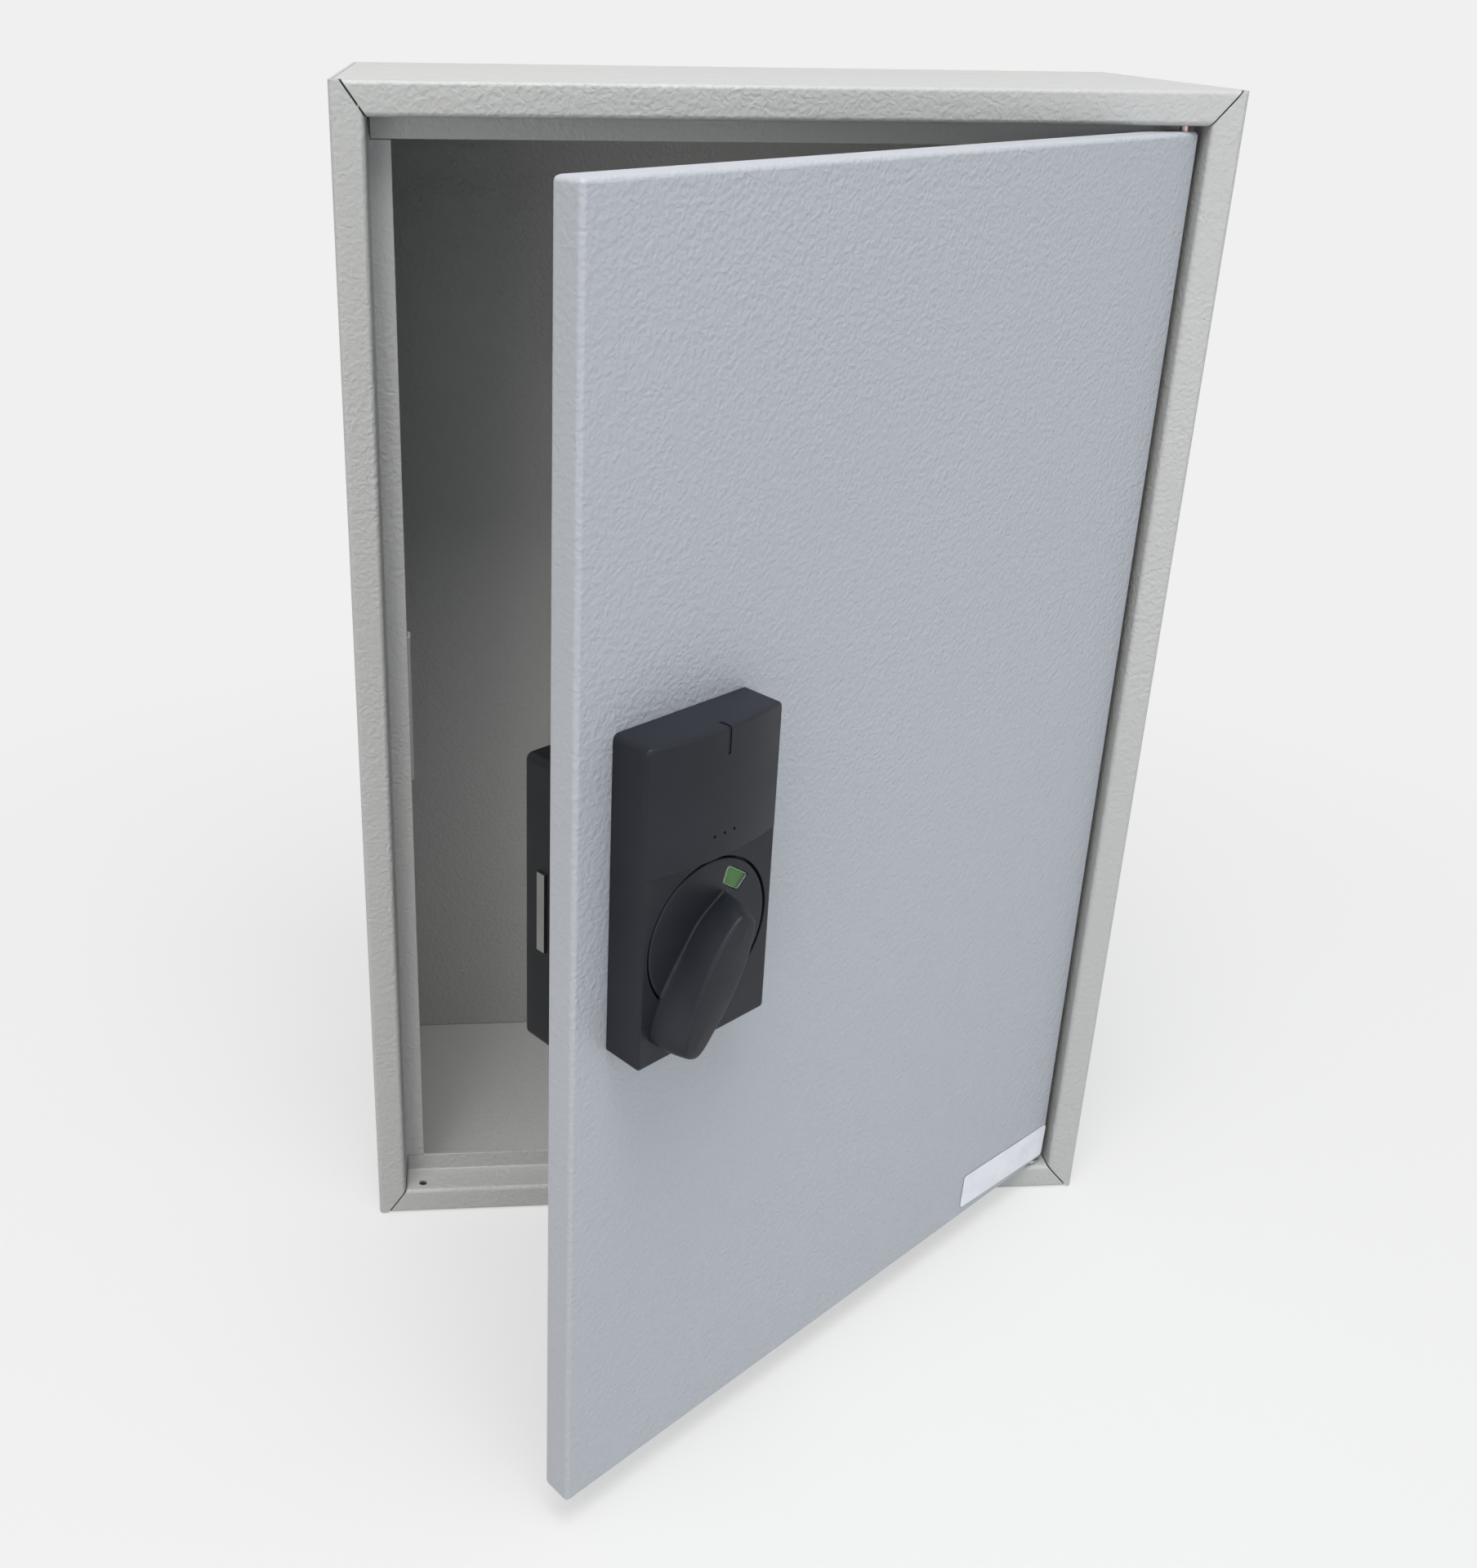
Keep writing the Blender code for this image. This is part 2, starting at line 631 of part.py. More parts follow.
def hook_bars(finish):
    """The hook bars, one above another."""
    made = []
    for number in range(BAR_COUNT):
        height = (number - (BAR_COUNT - 1) / 2) * BAR_PITCH_SLOTS * SLOT_PITCH
        bar, windows, tongues = hook_bar_mesh()
        bar.name = f"hook_bar_{number + 1}"
        bar.data.materials.append(finish)
        for solid in (bar, windows, tongues):
            solid.location.z = height
        combine(bar, [windows])
        combine(bar, [tongues], "UNION")
        made.append(bar)
    return made


# Door

def bevelled_block(low, high, radius, steps):
    """A box with all its edges rounded."""
    made = block(low, high)
    bmesh.ops.bevel(made, geom=made.edges[:], offset=radius, segments=steps, profile=0.5, affect="EDGES")
    return made


def cylinder_y(radius, low, high, centre, sides=ROUND_SIDES):
    """A cylinder along Y; centre is (x, z)."""
    outline = [(centre[0] + radius * math.cos(2 * math.pi * index / sides),
                centre[1] + radius * math.sin(2 * math.pi * index / sides)) for index in range(sides)]
    return prism(outline, low, high, "XZY")


def door_pan(finish, parent):
    """Door sheet with four folded sides and lips folded in at the back."""
    outer = bevelled_block((DOOR_FREE_EDGE, DOOR_FRONT, DOOR_BOTTOM), (DOOR_HINGE_EDGE, DOOR_REAR, DOOR_TOP),
                           DOOR_FOLD, BEND_STEPS)
    made = piece("door_pan", outer, finish, parent)
    hollow = bevelled_block((DOOR_FREE_EDGE + DOOR_SHEET, DOOR_FRONT + DOOR_SHEET, DOOR_BOTTOM + DOOR_SHEET),
                            (DOOR_HINGE_EDGE - DOOR_SHEET, DOOR_REAR - DOOR_SHEET, DOOR_TOP - DOOR_SHEET),
                            DOOR_FOLD - DOOR_SHEET, BEND_STEPS)
    mouth = block((DOOR_FREE_EDGE + DOOR_RETURN, DOOR_REAR - DOOR_SHEET - OVERRUN, DOOR_BOTTOM + DOOR_RETURN),
                  (DOOR_HINGE_EDGE - DOOR_RETURN, DOOR_REAR + OVERRUN, DOOR_TOP - DOOR_RETURN))
    cuts = [cutter("door_hollow", hollow, parent), cutter("door_mouth", mouth, parent)]
    pivot_hole = BUSH_RADIUS + SEAM
    for name, level, step in (("top", DOOR_TOP, -1), ("bottom", DOOR_BOTTOM, 1)):
        ends = sorted((level - step * OVERRUN, level + step * (DOOR_SHEET + OVERRUN)))
        cuts.append(cutter(f"pivot_hole_{name}", turned([(pivot_hole, ends[0]), (pivot_hole, ends[1])]), parent))
    through = (DOOR_FRONT - OVERRUN, DOOR_FRONT + DOOR_SHEET + OVERRUN)
    holes = [cylinder_y(SPINDLE_HOLE_RADIUS, *through, (LOCK_X, LOCK_Z))]
    for rise in (FIXING_UPPER, -FIXING_LOWER):
        holes.append(cylinder_y(FIXING_HOLE_RADIUS, *through, (LOCK_X, LOCK_Z + rise)))
    cuts.append(cutter("door_lock_holes", join(holes), parent))
    return combine(made, cuts)


def door_stiffener(finish, parent):
    """Channel spot welded inside the door, on the back of its skin."""
    middle = (DOOR_FREE_EDGE + DOOR_HINGE_EDGE) / 2 + STIFFENER_PLACE
    base = DOOR_FRONT + DOOR_SHEET + SEAM
    outline = [(middle + across, base + out)
               for across, out in channel_outline(STIFFENER_WIDTH, STIFFENER_DEPTH, STIFFENER_SHEET)]
    return piece("door_stiffener", prism(outline, DOOR_BOTTOM + STIFFENER_MARGIN, DOOR_TOP - STIFFENER_MARGIN),
                 finish, parent)


def door_bush(name, rise, finish, parent):
    """Flanged bush pressed up into the door's folded end, round the pin."""
    bore = PIN_RADIUS + PIVOT_CLEARANCE
    end = DOOR_TOP
    shoulder = DOOR_TOP - DOOR_SHEET - SEAM
    levels = [(BUSH_RADIUS, end), (BUSH_RADIUS, shoulder), (BUSH_FLANGE_RADIUS, shoulder),
              (BUSH_FLANGE_RADIUS, shoulder - BUSH_FLANGE), (BUSH_RADIUS, shoulder - BUSH_FLANGE),
              (BUSH_RADIUS, end - BUSH_LENGTH)]
    made = piece(name, turned([(radius, rise * height) for radius, height in levels]), finish, parent)
    far = rise * (end + OVERRUN)
    near = rise * (end - BUSH_LENGTH - OVERRUN)
    hole = cutter(f"{name}_bore", turned([(bore, near), (bore, far)]), parent)
    return smooth(combine(made, [hole]))


def id_label(finish, parent):
    """Blank identity label at the foot of the door, put on a little crooked."""
    tilt = math.radians(LABEL_TILT)
    centre = (DOOR_HINGE_EDGE - DOOR_FOLD - LABEL_WIDTH / 2, DOOR_BOTTOM + LABEL_RISE)
    outline = [(centre[0] + across * math.cos(tilt) - up * math.sin(tilt),
                centre[1] + across * math.sin(tilt) + up * math.cos(tilt))
               for across, up in rounded(LABEL_WIDTH, LABEL_HEIGHT, LABEL_CORNER)]
    near = DOOR_FRONT - SEAM
    return piece("id_label", prism(outline, near - LABEL_THICKNESS, near, "XZY"), finish, parent)


# Lock, outside. Drawn about the thumbturn's axis: X to the hinge side, Y up, Z out of the door.

def housing_outline():
    """Front outline of the lock housing."""
    height = HOUSING_ABOVE + HOUSING_BELOW
    return rounded(HOUSING_WIDTH, height, HOUSING_CORNER, (0.0, HOUSING_ABOVE - height / 2))


def crown_height(across):
    """Height of the crowned face above the door at a distance from its centre line."""
    half = HOUSING_WIDTH / 2
    radius = (half * half + CROWN_RISE * CROWN_RISE) / (2 * CROWN_RISE)
    return HOUSING_DEPTH + CROWN_RISE - radius + math.sqrt(radius * radius - across * across)


def edge_round(places, lift):
    """A cutter that rounds an edge; places are (point, inward, out) along it, lift clears the face."""
    rings = []
    for point, inward, out in places:
        ring = []
        centre = point + (inward - out) * HOUSING_EDGE
        for step in range(BEND_STEPS + 1):
            angle = math.pi / 2 * step / BEND_STEPS
            ring.append(centre + out * HOUSING_EDGE * math.cos(angle) - inward * HOUSING_EDGE * math.sin(angle))
        ring.append(ring[-1] - inward * lift)
        ring.append(point + (out - inward) * lift)
        ring.append(ring[0] + out * lift)
        rings.append(ring)
    return loft(rings)


def housing_edges():
    """Cutters for the housing's two sides, its foot and its crowned top."""
    out = Vector((0.0, 0.0, 1.0))
    half = HOUSING_WIDTH / 2
    low = -HOUSING_BELOW
    made = {}
    for name, side in (("left", -1), ("right", 1)):
        ends = (Vector((side * half, low - OVERRUN, HOUSING_DEPTH)),
                Vector((side * half, HOUSING_ABOVE + OVERRUN, HOUSING_DEPTH)))
        made[f"housing_edge_{name}"] = edge_round([(end, Vector((-side, 0.0, 0.0)), out) for end in ends], OVERRUN)
    ends = (Vector((-half - OVERRUN, low, HOUSING_DEPTH)), Vector((half + OVERRUN, low, HOUSING_DEPTH)))
    made["housing_edge_foot"] = edge_round([(end, Vector((0.0, 1.0, 0.0)), out) for end in ends], OVERRUN)
    arc = []
    for step in range(CROWN_STEPS + 1):
        across = half * (2 * step / CROWN_STEPS - 1)
        arc.append(Vector((across, HOUSING_ABOVE, crown_height(across))))
    arc[0].x -= OVERRUN
    arc[-1].x += OVERRUN
    made["housing_edge_top"] = edge_round([(point, Vector((0.0, -1.0, 0.0)), out) for point in arc],
                                          CROWN_RISE + OVERRUN)
    return made


def lock_housing(finish, parent):
    """Moulded housing: crowned above, flat below with the round recess of the thumbturn."""
    top = HOUSING_DEPTH + CROWN_RISE + OVERRUN
    made = piece("lock_housing", prism(housing_outline(), SEAM, top), finish, parent)
    half = HOUSING_WIDTH / 2
    side = half + OVERRUN
    lower = block((-side, -HOUSING_BELOW - OVERRUN, HOUSING_DEPTH), (side, CROWN_FROM, top + OVERRUN))
    steps = [half * (2 * step / CROWN_STEPS - 1) for step in range(CROWN_STEPS + 1)]
    arc = [(across, crown_height(across)) for across in steps]
    sky = [(side, HOUSING_DEPTH), (side, top + OVERRUN), (-side, top + OVERRUN), (-side, HOUSING_DEPTH)]
    upper = prism(arc + sky, CROWN_FROM - SEAM, HOUSING_ABOVE + OVERRUN, "XZY")
    floor = HOUSING_DEPTH - RECESS_DEPTH
    recess = turned([(KNOB_RADIUS + KNOB_GAP, floor), (KNOB_RADIUS + KNOB_GAP, top)], DISC_SIDES)
    inside = half - HOUSING_WALL
    lower_pocket = block((-inside, -FIXING_LOWER + FIXING_HEAD_RADIUS + SEAM, -OVERRUN),
                         (inside, RIB_FROM, floor - HOUSING_WALL))
    upper_pocket = block((-inside, RIB_TO, -OVERRUN), (inside, HOUSING_ABOVE - HOUSING_WALL, CROWN_FLOOR))
    slot_half = LIGHT_THICKNESS / 2 + SEAM
    light_slot = block((LIGHT_OFFSET - slot_half, HOUSING_ABOVE - LIGHT_DROP - SEAM,
                        HOUSING_DEPTH + CROWN_RISE - LIGHT_INSET - SEAM),
                       (LIGHT_OFFSET + slot_half, HOUSING_ABOVE + OVERRUN, top + OVERRUN))
    holes = [turned([(SPINDLE_HOLE_RADIUS, -OVERRUN), (SPINDLE_HOLE_RADIUS, floor + OVERRUN)])]
    for rise in (FIXING_UPPER, -FIXING_LOWER):
        holes.append(turned([(FIXING_HOLE_RADIUS, -OVERRUN), (FIXING_HOLE_RADIUS, FIXING_GRIP + 2 * SEAM)],
                            ROUND_SIDES, (0.0, rise)))
    for place in (-1, 0, 1):
        across = SOUND_HOLE_OFFSET + place * SOUND_HOLE_PITCH
        face = crown_height(across)
        holes.append(turned([(SOUND_HOLE_RADIUS, face - SOUND_HOLE_DEPTH), (SOUND_HOLE_RADIUS, face + OVERRUN)],
                            ROUND_SIDES // 3, (across, SOUND_HOLE_RISE)))
    solids = {"housing_lower": lower, "housing_upper": upper, "housing_recess": recess,
              "housing_lower_pocket": lower_pocket, "housing_upper_pocket": upper_pocket,
              "housing_light_slot": light_slot, "housing_holes": join(holes)}
    solids.update(housing_edges())
    return combine(made, [cutter(name, solid, parent) for name, solid in solids.items()])


def status_light(finish, parent):
    """Thin light guide that shows on the housing's top and front."""
    crest = crown_height(abs(LIGHT_OFFSET) + LIGHT_THICKNESS / 2) - LIGHT_SINK
    low = (LIGHT_OFFSET - LIGHT_THICKNESS / 2, HOUSING_ABOVE - LIGHT_DROP, HOUSING_DEPTH + CROWN_RISE - LIGHT_INSET)
    high = (LIGHT_OFFSET + LIGHT_THICKNESS / 2, HOUSING_ABOVE - LIGHT_SINK, crest)
    return piece("status_light", block(low, high), finish, parent)


def reader_board(finish, parent):
    """Reader's circuit board, against the underside of the crown."""
    across = HOUSING_WIDTH / 2 - HOUSING_WALL - BOARD_MARGIN
    high = CROWN_FLOOR - SEAM
    return piece("reader_board", block((-across, RIB_TO + BOARD_MARGIN, high - BOARD_THICKNESS),
                                       (across, HOUSING_ABOVE - HOUSING_WALL - BOARD_MARGIN, high)), finish, parent)


def indicator_plate(finish, parent):
    """Coloured ring on the recess floor, seen through the thumbturn's window."""
    low = HOUSING_DEPTH - RECESS_DEPTH + SEAM
    return piece("indicator_plate", tube(KNOB_RADIUS - KNOB_GAP, PLATE_BORE, low, low + PLATE_THICKNESS, DISC_SIDES),
                 finish, parent)


# Thumbturn, drawn pointing down, along -Y

def fin_ring(level, change, root, tip, narrow, limit=None):
    """Outline of the fin at one level, from its root down one side and back up the other.

    change is how far the outline has gone from the base's to the crown's; limit cuts it short.
    """
    stations = []
    for base, crown in zip(FIN_BASE_SHARES, FIN_CROWN_SHARES):
        along = base[0] + (crown[0] - base[0]) * change
        half = (base[1] * FIN_BASE_WIDTH * (1 - change) + crown[1] * FIN_CROWN_WIDTH * change) / 2 * narrow
        place = -root + (root + tip) * along
        if limit is None or place < limit:
            stations.append((place, half))
    if limit is not None:
        stations.append((limit, stations[-1][1]))
    left = [(-half, -place, level) for place, half in stations]
    right = [(half, -place, level) for place, half in stations[::-1]]
    return left + right


def window_outline(gap):
    """Outline of the curved window, larger all round by a gap."""
    outline = []
    for along, out in rounded(WINDOW_WIDTH + 2 * gap, WINDOW_HEIGHT + 2 * gap, WINDOW_CORNER + gap):
        angle = math.radians(WINDOW_ANGLE) + along / WINDOW_RADIUS
        outline.append(((WINDOW_RADIUS + out) * math.sin(angle), (WINDOW_RADIUS + out) * math.cos(angle)))
    return outline


def thumbturn(finish, parent):
    """Round disc with the tall fin that the fingers turn, moulded in one."""
    face = HOUSING_DEPTH
    back = face - KNOB_THICKNESS
    made = piece("thumbturn", turned([(KNOB_RADIUS, back), (KNOB_RADIUS, face)], DISC_SIDES), finish, parent)
    low = face + FIN_LIFT
    rings = []
    for height, change, root, tip, narrow in FIN_RING_SHARES:
        level = low + (FIN_HEIGHT - FIN_LIFT) * height
        rings.append(fin_ring(level, change, FIN_ROOT * root, FIN_TIP * tip, narrow))
    foot = [fin_ring(level, 0.0, FIN_ROOT - SEAM, FIN_TIP, FOOT_WIDTH_SHARE, FIN_FOOT)
            for level in (face - KNOB_THICKNESS / 2, low + FIN_LIFT)]
    combine(made, [cutter("fin_foot", loft(foot), parent), cutter("fin", loft(rings), parent)], "UNION")
    window = prism(window_outline(SEAM), back - OVERRUN, face + OVERRUN)
    socket_half = SPINDLE / 2 + SEAM
    socket = block((-socket_half, -socket_half, back - OVERRUN), (socket_half, socket_half, back + SPINDLE_SOCKET + SEAM))
    return combine(made, [cutter("window_hole", window, parent), cutter("spindle_socket", socket, parent)])


def indicator_window(finish, parent):
    """Clear window in the disc, above the fin's root."""
    face = HOUSING_DEPTH
    return piece("indicator_window", prism(window_outline(0.0), face - KNOB_THICKNESS, face - SEAM), finish, parent)


def spindle(finish, parent):
    """Square bar from the thumbturn through the door to the cam."""
    half = SPINDLE / 2
    low = DOOR_FRONT - CAM_Y1 + SEAM
    high = HOUSING_DEPTH - KNOB_THICKNESS + SPINDLE_SOCKET
    return piece("spindle", block((-half, -half, low), (half, half, high)), finish, parent)


def drive_cam(finish, parent):
    """Disc on the spindle, whose crank pin carries the bolt."""
    low = DOOR_FRONT - CAM_Y1
    high = DOOR_FRONT - CAM_Y0
    made = piece("drive_cam", turned([(CAM_RADIUS, low), (CAM_RADIUS, high)]), finish, parent)
    # The pin is placed for the thumbturn as it stands, so the turn of its axis is taken off.
    angle = math.radians(CRANK_REST_ANGLE + TURN_REST_ANGLE)
    centre = (CRANK_RADIUS * math.cos(angle), CRANK_RADIUS * math.sin(angle))
    pin = turned([(CRANK_PIN_RADIUS, low - CRANK_PIN_LENGTH), (CRANK_PIN_RADIUS, (low + high) / 2)],
                 ROUND_SIDES, centre)
    hole_half = SPINDLE / 2 + SEAM
    hole = block((-hole_half, -hole_half, low - OVERRUN), (hole_half, hole_half, high + OVERRUN))
    combine(made, [cutter("crank_pin", pin, parent)], "UNION")
    return combine(made, [cutter("cam_hole", hole, parent)])


# Lock, inside the door

def lock_channel(finish, parent):
    """Channel between the door's skin and the lock case, which the lock is screwed through."""
    middle = (CASE_X0 + CASE_X1) / 2
    base = DOOR_FRONT + DOOR_SHEET + SEAM
    depth = DOOR_REAR - base
    outline = [(middle + across, base + out) for across, out in channel_outline(CHANNEL_WIDTH, depth, CHANNEL_SHEET)]
    centre = (CASE_Z0 + CASE_Z1) / 2
    made = piece("lock_channel", prism(outline, centre - CHANNEL_HEIGHT / 2, centre + CHANNEL_HEIGHT / 2), finish, parent)
    through = (DOOR_REAR - CHANNEL_SHEET - OVERRUN, DOOR_REAR + OVERRUN)
    holes = [cylinder_y(SPINDLE_HOLE_RADIUS, *through, (LOCK_X, LOCK_Z))]
    for rise in (FIXING_UPPER, -FIXING_LOWER):
        holes.append(cylinder_y(FIXING_HOLE_RADIUS, *through, (LOCK_X, LOCK_Z + rise)))
    return combine(made, [cutter("channel_holes", join(holes), parent)])


def case_screw_places():
    """Where the two case screws stand, as (x, z)."""
    across = CASE_X0 + CASE_SCREW_INSET
    return ((across, CASE_Z1 - CASE_SCREW_INSET), (across, CASE_Z0 + CASE_SCREW_INSET))


def base_plate(finish, parent):
    """Steel plate inside the mouth of the case."""
    inset = CASE_WALL + SEAM
    made = piece("lock_base_plate", block((CASE_X0 + inset, CASE_Y0, CASE_Z0 + inset),
                                          (CASE_X1 - inset, BASE_Y1, CASE_Z1 - inset)), finish, parent)
    through = (CASE_Y0 - OVERRUN, BASE_Y1 + OVERRUN)
    holes = [cylinder_y(SPINDLE_HOLE_RADIUS, *through, (LOCK_X, LOCK_Z))]
    for rise in (FIXING_UPPER, -FIXING_LOWER):
        holes.append(cylinder_y(FIXING_HOLE_RADIUS, *through, (LOCK_X, LOCK_Z + rise)))
    for centre in case_screw_places():
        holes.append(cylinder_y(CASE_SCREW_HOLE_RADIUS, *through, centre))
    return combine(made, [cutter("base_plate_holes", join(holes), parent)])


def cover_span():
    """Low and high corners of the battery cover, as (x, z)."""
    high_x = CASE_X1 - CASE_WALL - SEAM
    return (high_x - COVER_WIDTH, CASE_Z0 + COVER_MARGIN), (high_x, CASE_Z1 - COVER_MARGIN)


def lock_case(finish, parent):
    """Black case over the mechanism and the cells, open towards the door."""
    outline = rounded(CASE_WIDTH, CASE_ABOVE + CASE_BELOW, CASE_CORNER,
                      ((CASE_X0 + CASE_X1) / 2, (CASE_Z0 + CASE_Z1) / 2))
    shell = prism(outline, CASE_Y0, CASE_Y1, "XZY")
    rim = [edge for edge in shell.edges if all(corner.co.y == edge.verts[0].co.y for corner in edge.verts)
           and edge.verts[0].co.y > (CASE_Y0 + CASE_Y1) / 2]
    bmesh.ops.bevel(shell, geom=rim, offset=CASE_EDGE, segments=2, profile=0.5, affect="EDGES")
    made = piece("lock_case", shell, finish, parent)
    pocket = block((CASE_X0 + CASE_WALL, CASE_Y0 - OVERRUN, CASE_Z0 + CASE_WALL),
                   (CASE_X1 - CASE_WALL, CASE_Y1 - CASE_WALL, CASE_Z1 - CASE_WALL))
    bolt_slot = block((CASE_X0 - OVERRUN, BOLT_Y0 - SEAM, LOCK_Z - BOLT_BELOW - SEAM),
                      (CASE_X0 + CASE_WALL + OVERRUN, BOLT_Y1 + SEAM, LOCK_Z + BOLT_ABOVE + SEAM))
    low, high = cover_span()
    cover_hole = block((low[0] - SEAM, CASE_Y1 - CASE_WALL - OVERRUN, low[1] - SEAM),
                       (high[0] + SEAM, CASE_Y1 + OVERRUN, high[1] + SEAM))
    holes = [cylinder_y(CASE_SCREW_HOLE_RADIUS, CASE_Y1 - CASE_WALL - OVERRUN, CASE_Y1 + OVERRUN, centre)
             for centre in case_screw_places()]
    solids = {"case_pocket": pocket, "case_bolt_slot": bolt_slot, "case_cover_hole": cover_hole,
              "case_screw_holes": join(holes)}
    return combine(made, [cutter(name, solid, parent) for name, solid in solids.items()])


def battery_cover(finish, parent):
    """Lid over the cells, flush with the back of the case."""
    low, high = cover_span()
    return piece("battery_cover", block((low[0], CASE_Y1 - CASE_WALL, low[1]), (high[0], CASE_Y1, high[1])),
                 finish, parent)


def battery_cells(finish, parent):
    """Two columns of two round cells, behind the cover."""
    low, high = cover_span()
    middle = (low[0] + high[0]) / 2
    depth = CASE_Y1 - CASE_WALL - SEAM - CELL_RADIUS
    for column in (0, 1):
        for row in (0, 1):
            length = CELL_LENGTH + CELL_CAP
            start = (CASE_Z0 + CASE_Z1) / 2 + (row - 1) * (length + SEAM) + SEAM / 2
            profile = [(CELL_RADIUS, start), (CELL_RADIUS, start + CELL_LENGTH),
                       (CELL_CAP_RADIUS, start + CELL_LENGTH), (CELL_CAP_RADIUS, start + length)]
            made = piece(f"battery_{2 * column + row + 1}", turned(profile), finish, parent)
            made.location = (middle + (column - 0.5) * CELL_PITCH, depth, 0.0)
            smooth(made)


def screw_y(name, centre, seat, head, head_radius, tip, radius, finish, parent):
    """Pan-head screw along Y, its head seated at one level and its tip at another."""
    profile = [(radius, tip), (radius, seat), (head_radius, seat), (head_radius * (1 - SCREW_CROWN_SHARE), seat + head)]
    made = piece(name, turned(profile), finish, parent)
    made.location = (centre[0], 0.0, centre[1])
    made.rotation_euler = (-math.pi / 2, 0.0, 0.0)
    return smooth(made)


def lock_screws(finish, parent):
    """Screws that hold the housing through the door, and those that hold the case."""
    for name, rise in (("lock_screw_upper", FIXING_UPPER), ("lock_screw_lower", -FIXING_LOWER)):
        screw_y(name, (LOCK_X, LOCK_Z + rise), BASE_Y1 + SEAM, FIXING_HEAD, FIXING_HEAD_RADIUS,
                DOOR_FRONT - FIXING_GRIP, FIXING_RADIUS, finish, parent)
    for name, centre in zip(("case_screw_upper", "case_screw_lower"), case_screw_places()):
        screw_y(name, centre, CASE_Y1 + SEAM, CASE_SCREW_HEAD, CASE_SCREW_HEAD_RADIUS, CASE_Y0,
                CASE_SCREW_RADIUS, finish, parent)


def bolt(finish, parent):
    """Flat bolt, drawn back; its slot takes the crank pin."""
    made = piece("bolt", block((BOLT_X0, BOLT_Y0, LOCK_Z - BOLT_BELOW),
                               (BOLT_X0 + BOLT_LENGTH, BOLT_Y1, LOCK_Z + BOLT_ABOVE)), finish, parent)
    centre = LOCK_X + CRANK_RADIUS * math.cos(math.radians(CRANK_REST_ANGLE))
    half = CRANK_PIN_RADIUS + BOLT_SLOT_PLAY
    slot = block((centre - half, BOLT_Y0 - OVERRUN, LOCK_Z + BOLT_SLOT_FROM),
                 (centre + half, BOLT_Y1 + OVERRUN, LOCK_Z + BOLT_SLOT_TO))
    return combine(made, [cutter("bolt_slot", slot, parent)])


def build():
    """Clear the scene and make every piece."""
    for old in list(bpy.data.objects):
        bpy.data.objects.remove(old, do_unlink=True)
    coat = material("powder_coat", (0.46, 0.47, 0.48), 0.45)
    plastic = material("black_plastic", (0.02, 0.021, 0.024), 0.42)
    steel = material("bright_steel", (0.62, 0.62, 0.60), 0.32, 1.0)
    zinc = material("zinc_plate", (0.60, 0.60, 0.58), 0.40, 1.0)
    copper = material("coppered_steel", (0.72, 0.50, 0.42), 0.35, 1.0)
    nylon = material("nylon", (0.82, 0.81, 0.77), 0.50)
    green = material("indicator_green", (0.10, 0.38, 0.06), 0.50)
    clear = material("clear_plastic", (0.85, 0.90, 0.86), 0.08, 0.0, 0.35)
    board = material("circuit_board", (0.03, 0.20, 0.08), 0.50)
    paper = material("label_film", (0.78, 0.78, 0.82), 0.40)
    cell = material("cell_jacket", (0.10, 0.10, 0.11), 0.35)

    side_panel("left_side_panel", -1, MITRE_START_LOCK, coat)
    side_panel("right_side_panel", 1, MITRE_START_HINGE, coat)
    rail_panel("top_panel", 1, coat)
    rail_panel("bottom_panel", -1, coat)
    back_panel(coat)
    strike_bracket(coat)
    hinge_pin("hinge_pin_top", 1, copper)
    hinge_pin("hinge_pin_bottom", -1, copper)
    hinge_washer(nylon)
    rack_upright("rack_upright_left", -1, zinc)
    rack_upright("rack_upright_right", 1, zinc)
    hook_bars(zinc)

    door_axis = empty("door_axis", None, (PIVOT_X, PIVOT_Y, 0.0), (0.0, 0.0, math.radians(DOOR_OPEN_ANGLE)))
    door_pan(coat, door_axis)
    door_stiffener(coat, door_axis)
    door_bush("door_bush_top", 1, nylon, door_axis)
    door_bush("door_bush_bottom", -1, nylon, door_axis)
    id_label(paper, door_axis)
    lock_channel(zinc, door_axis)
    base_plate(zinc, door_axis)
    lock_case(plastic, door_axis)
    battery_cover(plastic, door_axis)
    battery_cells(cell, door_axis)
    lock_screws(steel, door_axis)
    bolt(steel, door_axis)

    lock_axis = empty("lock_axis", door_axis, (LOCK_X, DOOR_FRONT, LOCK_Z), (math.pi / 2, 0.0, 0.0))
    lock_housing(plastic, lock_axis)
    status_light(clear, lock_axis)
    reader_board(board, lock_axis)
    indicator_plate(green, lock_axis)

    turn_axis = empty("thumbturn_axis", lock_axis, (0.0, 0.0, 0.0), (0.0, 0.0, -math.radians(TURN_REST_ANGLE)))
    thumbturn(plastic, turn_axis)
    indicator_window(clear, turn_axis)
    spindle(steel, turn_axis)
    drive_cam(steel, turn_axis)


build()
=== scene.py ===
"""Looks for a wall key cabinet with a battery lock on its door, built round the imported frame."""

from __future__ import annotations

import json
import logging
import math
from dataclasses import dataclass, field
from enum import Enum
from typing import Callable, Sequence

import bmesh
import bpy
from mathutils import Matrix, Vector


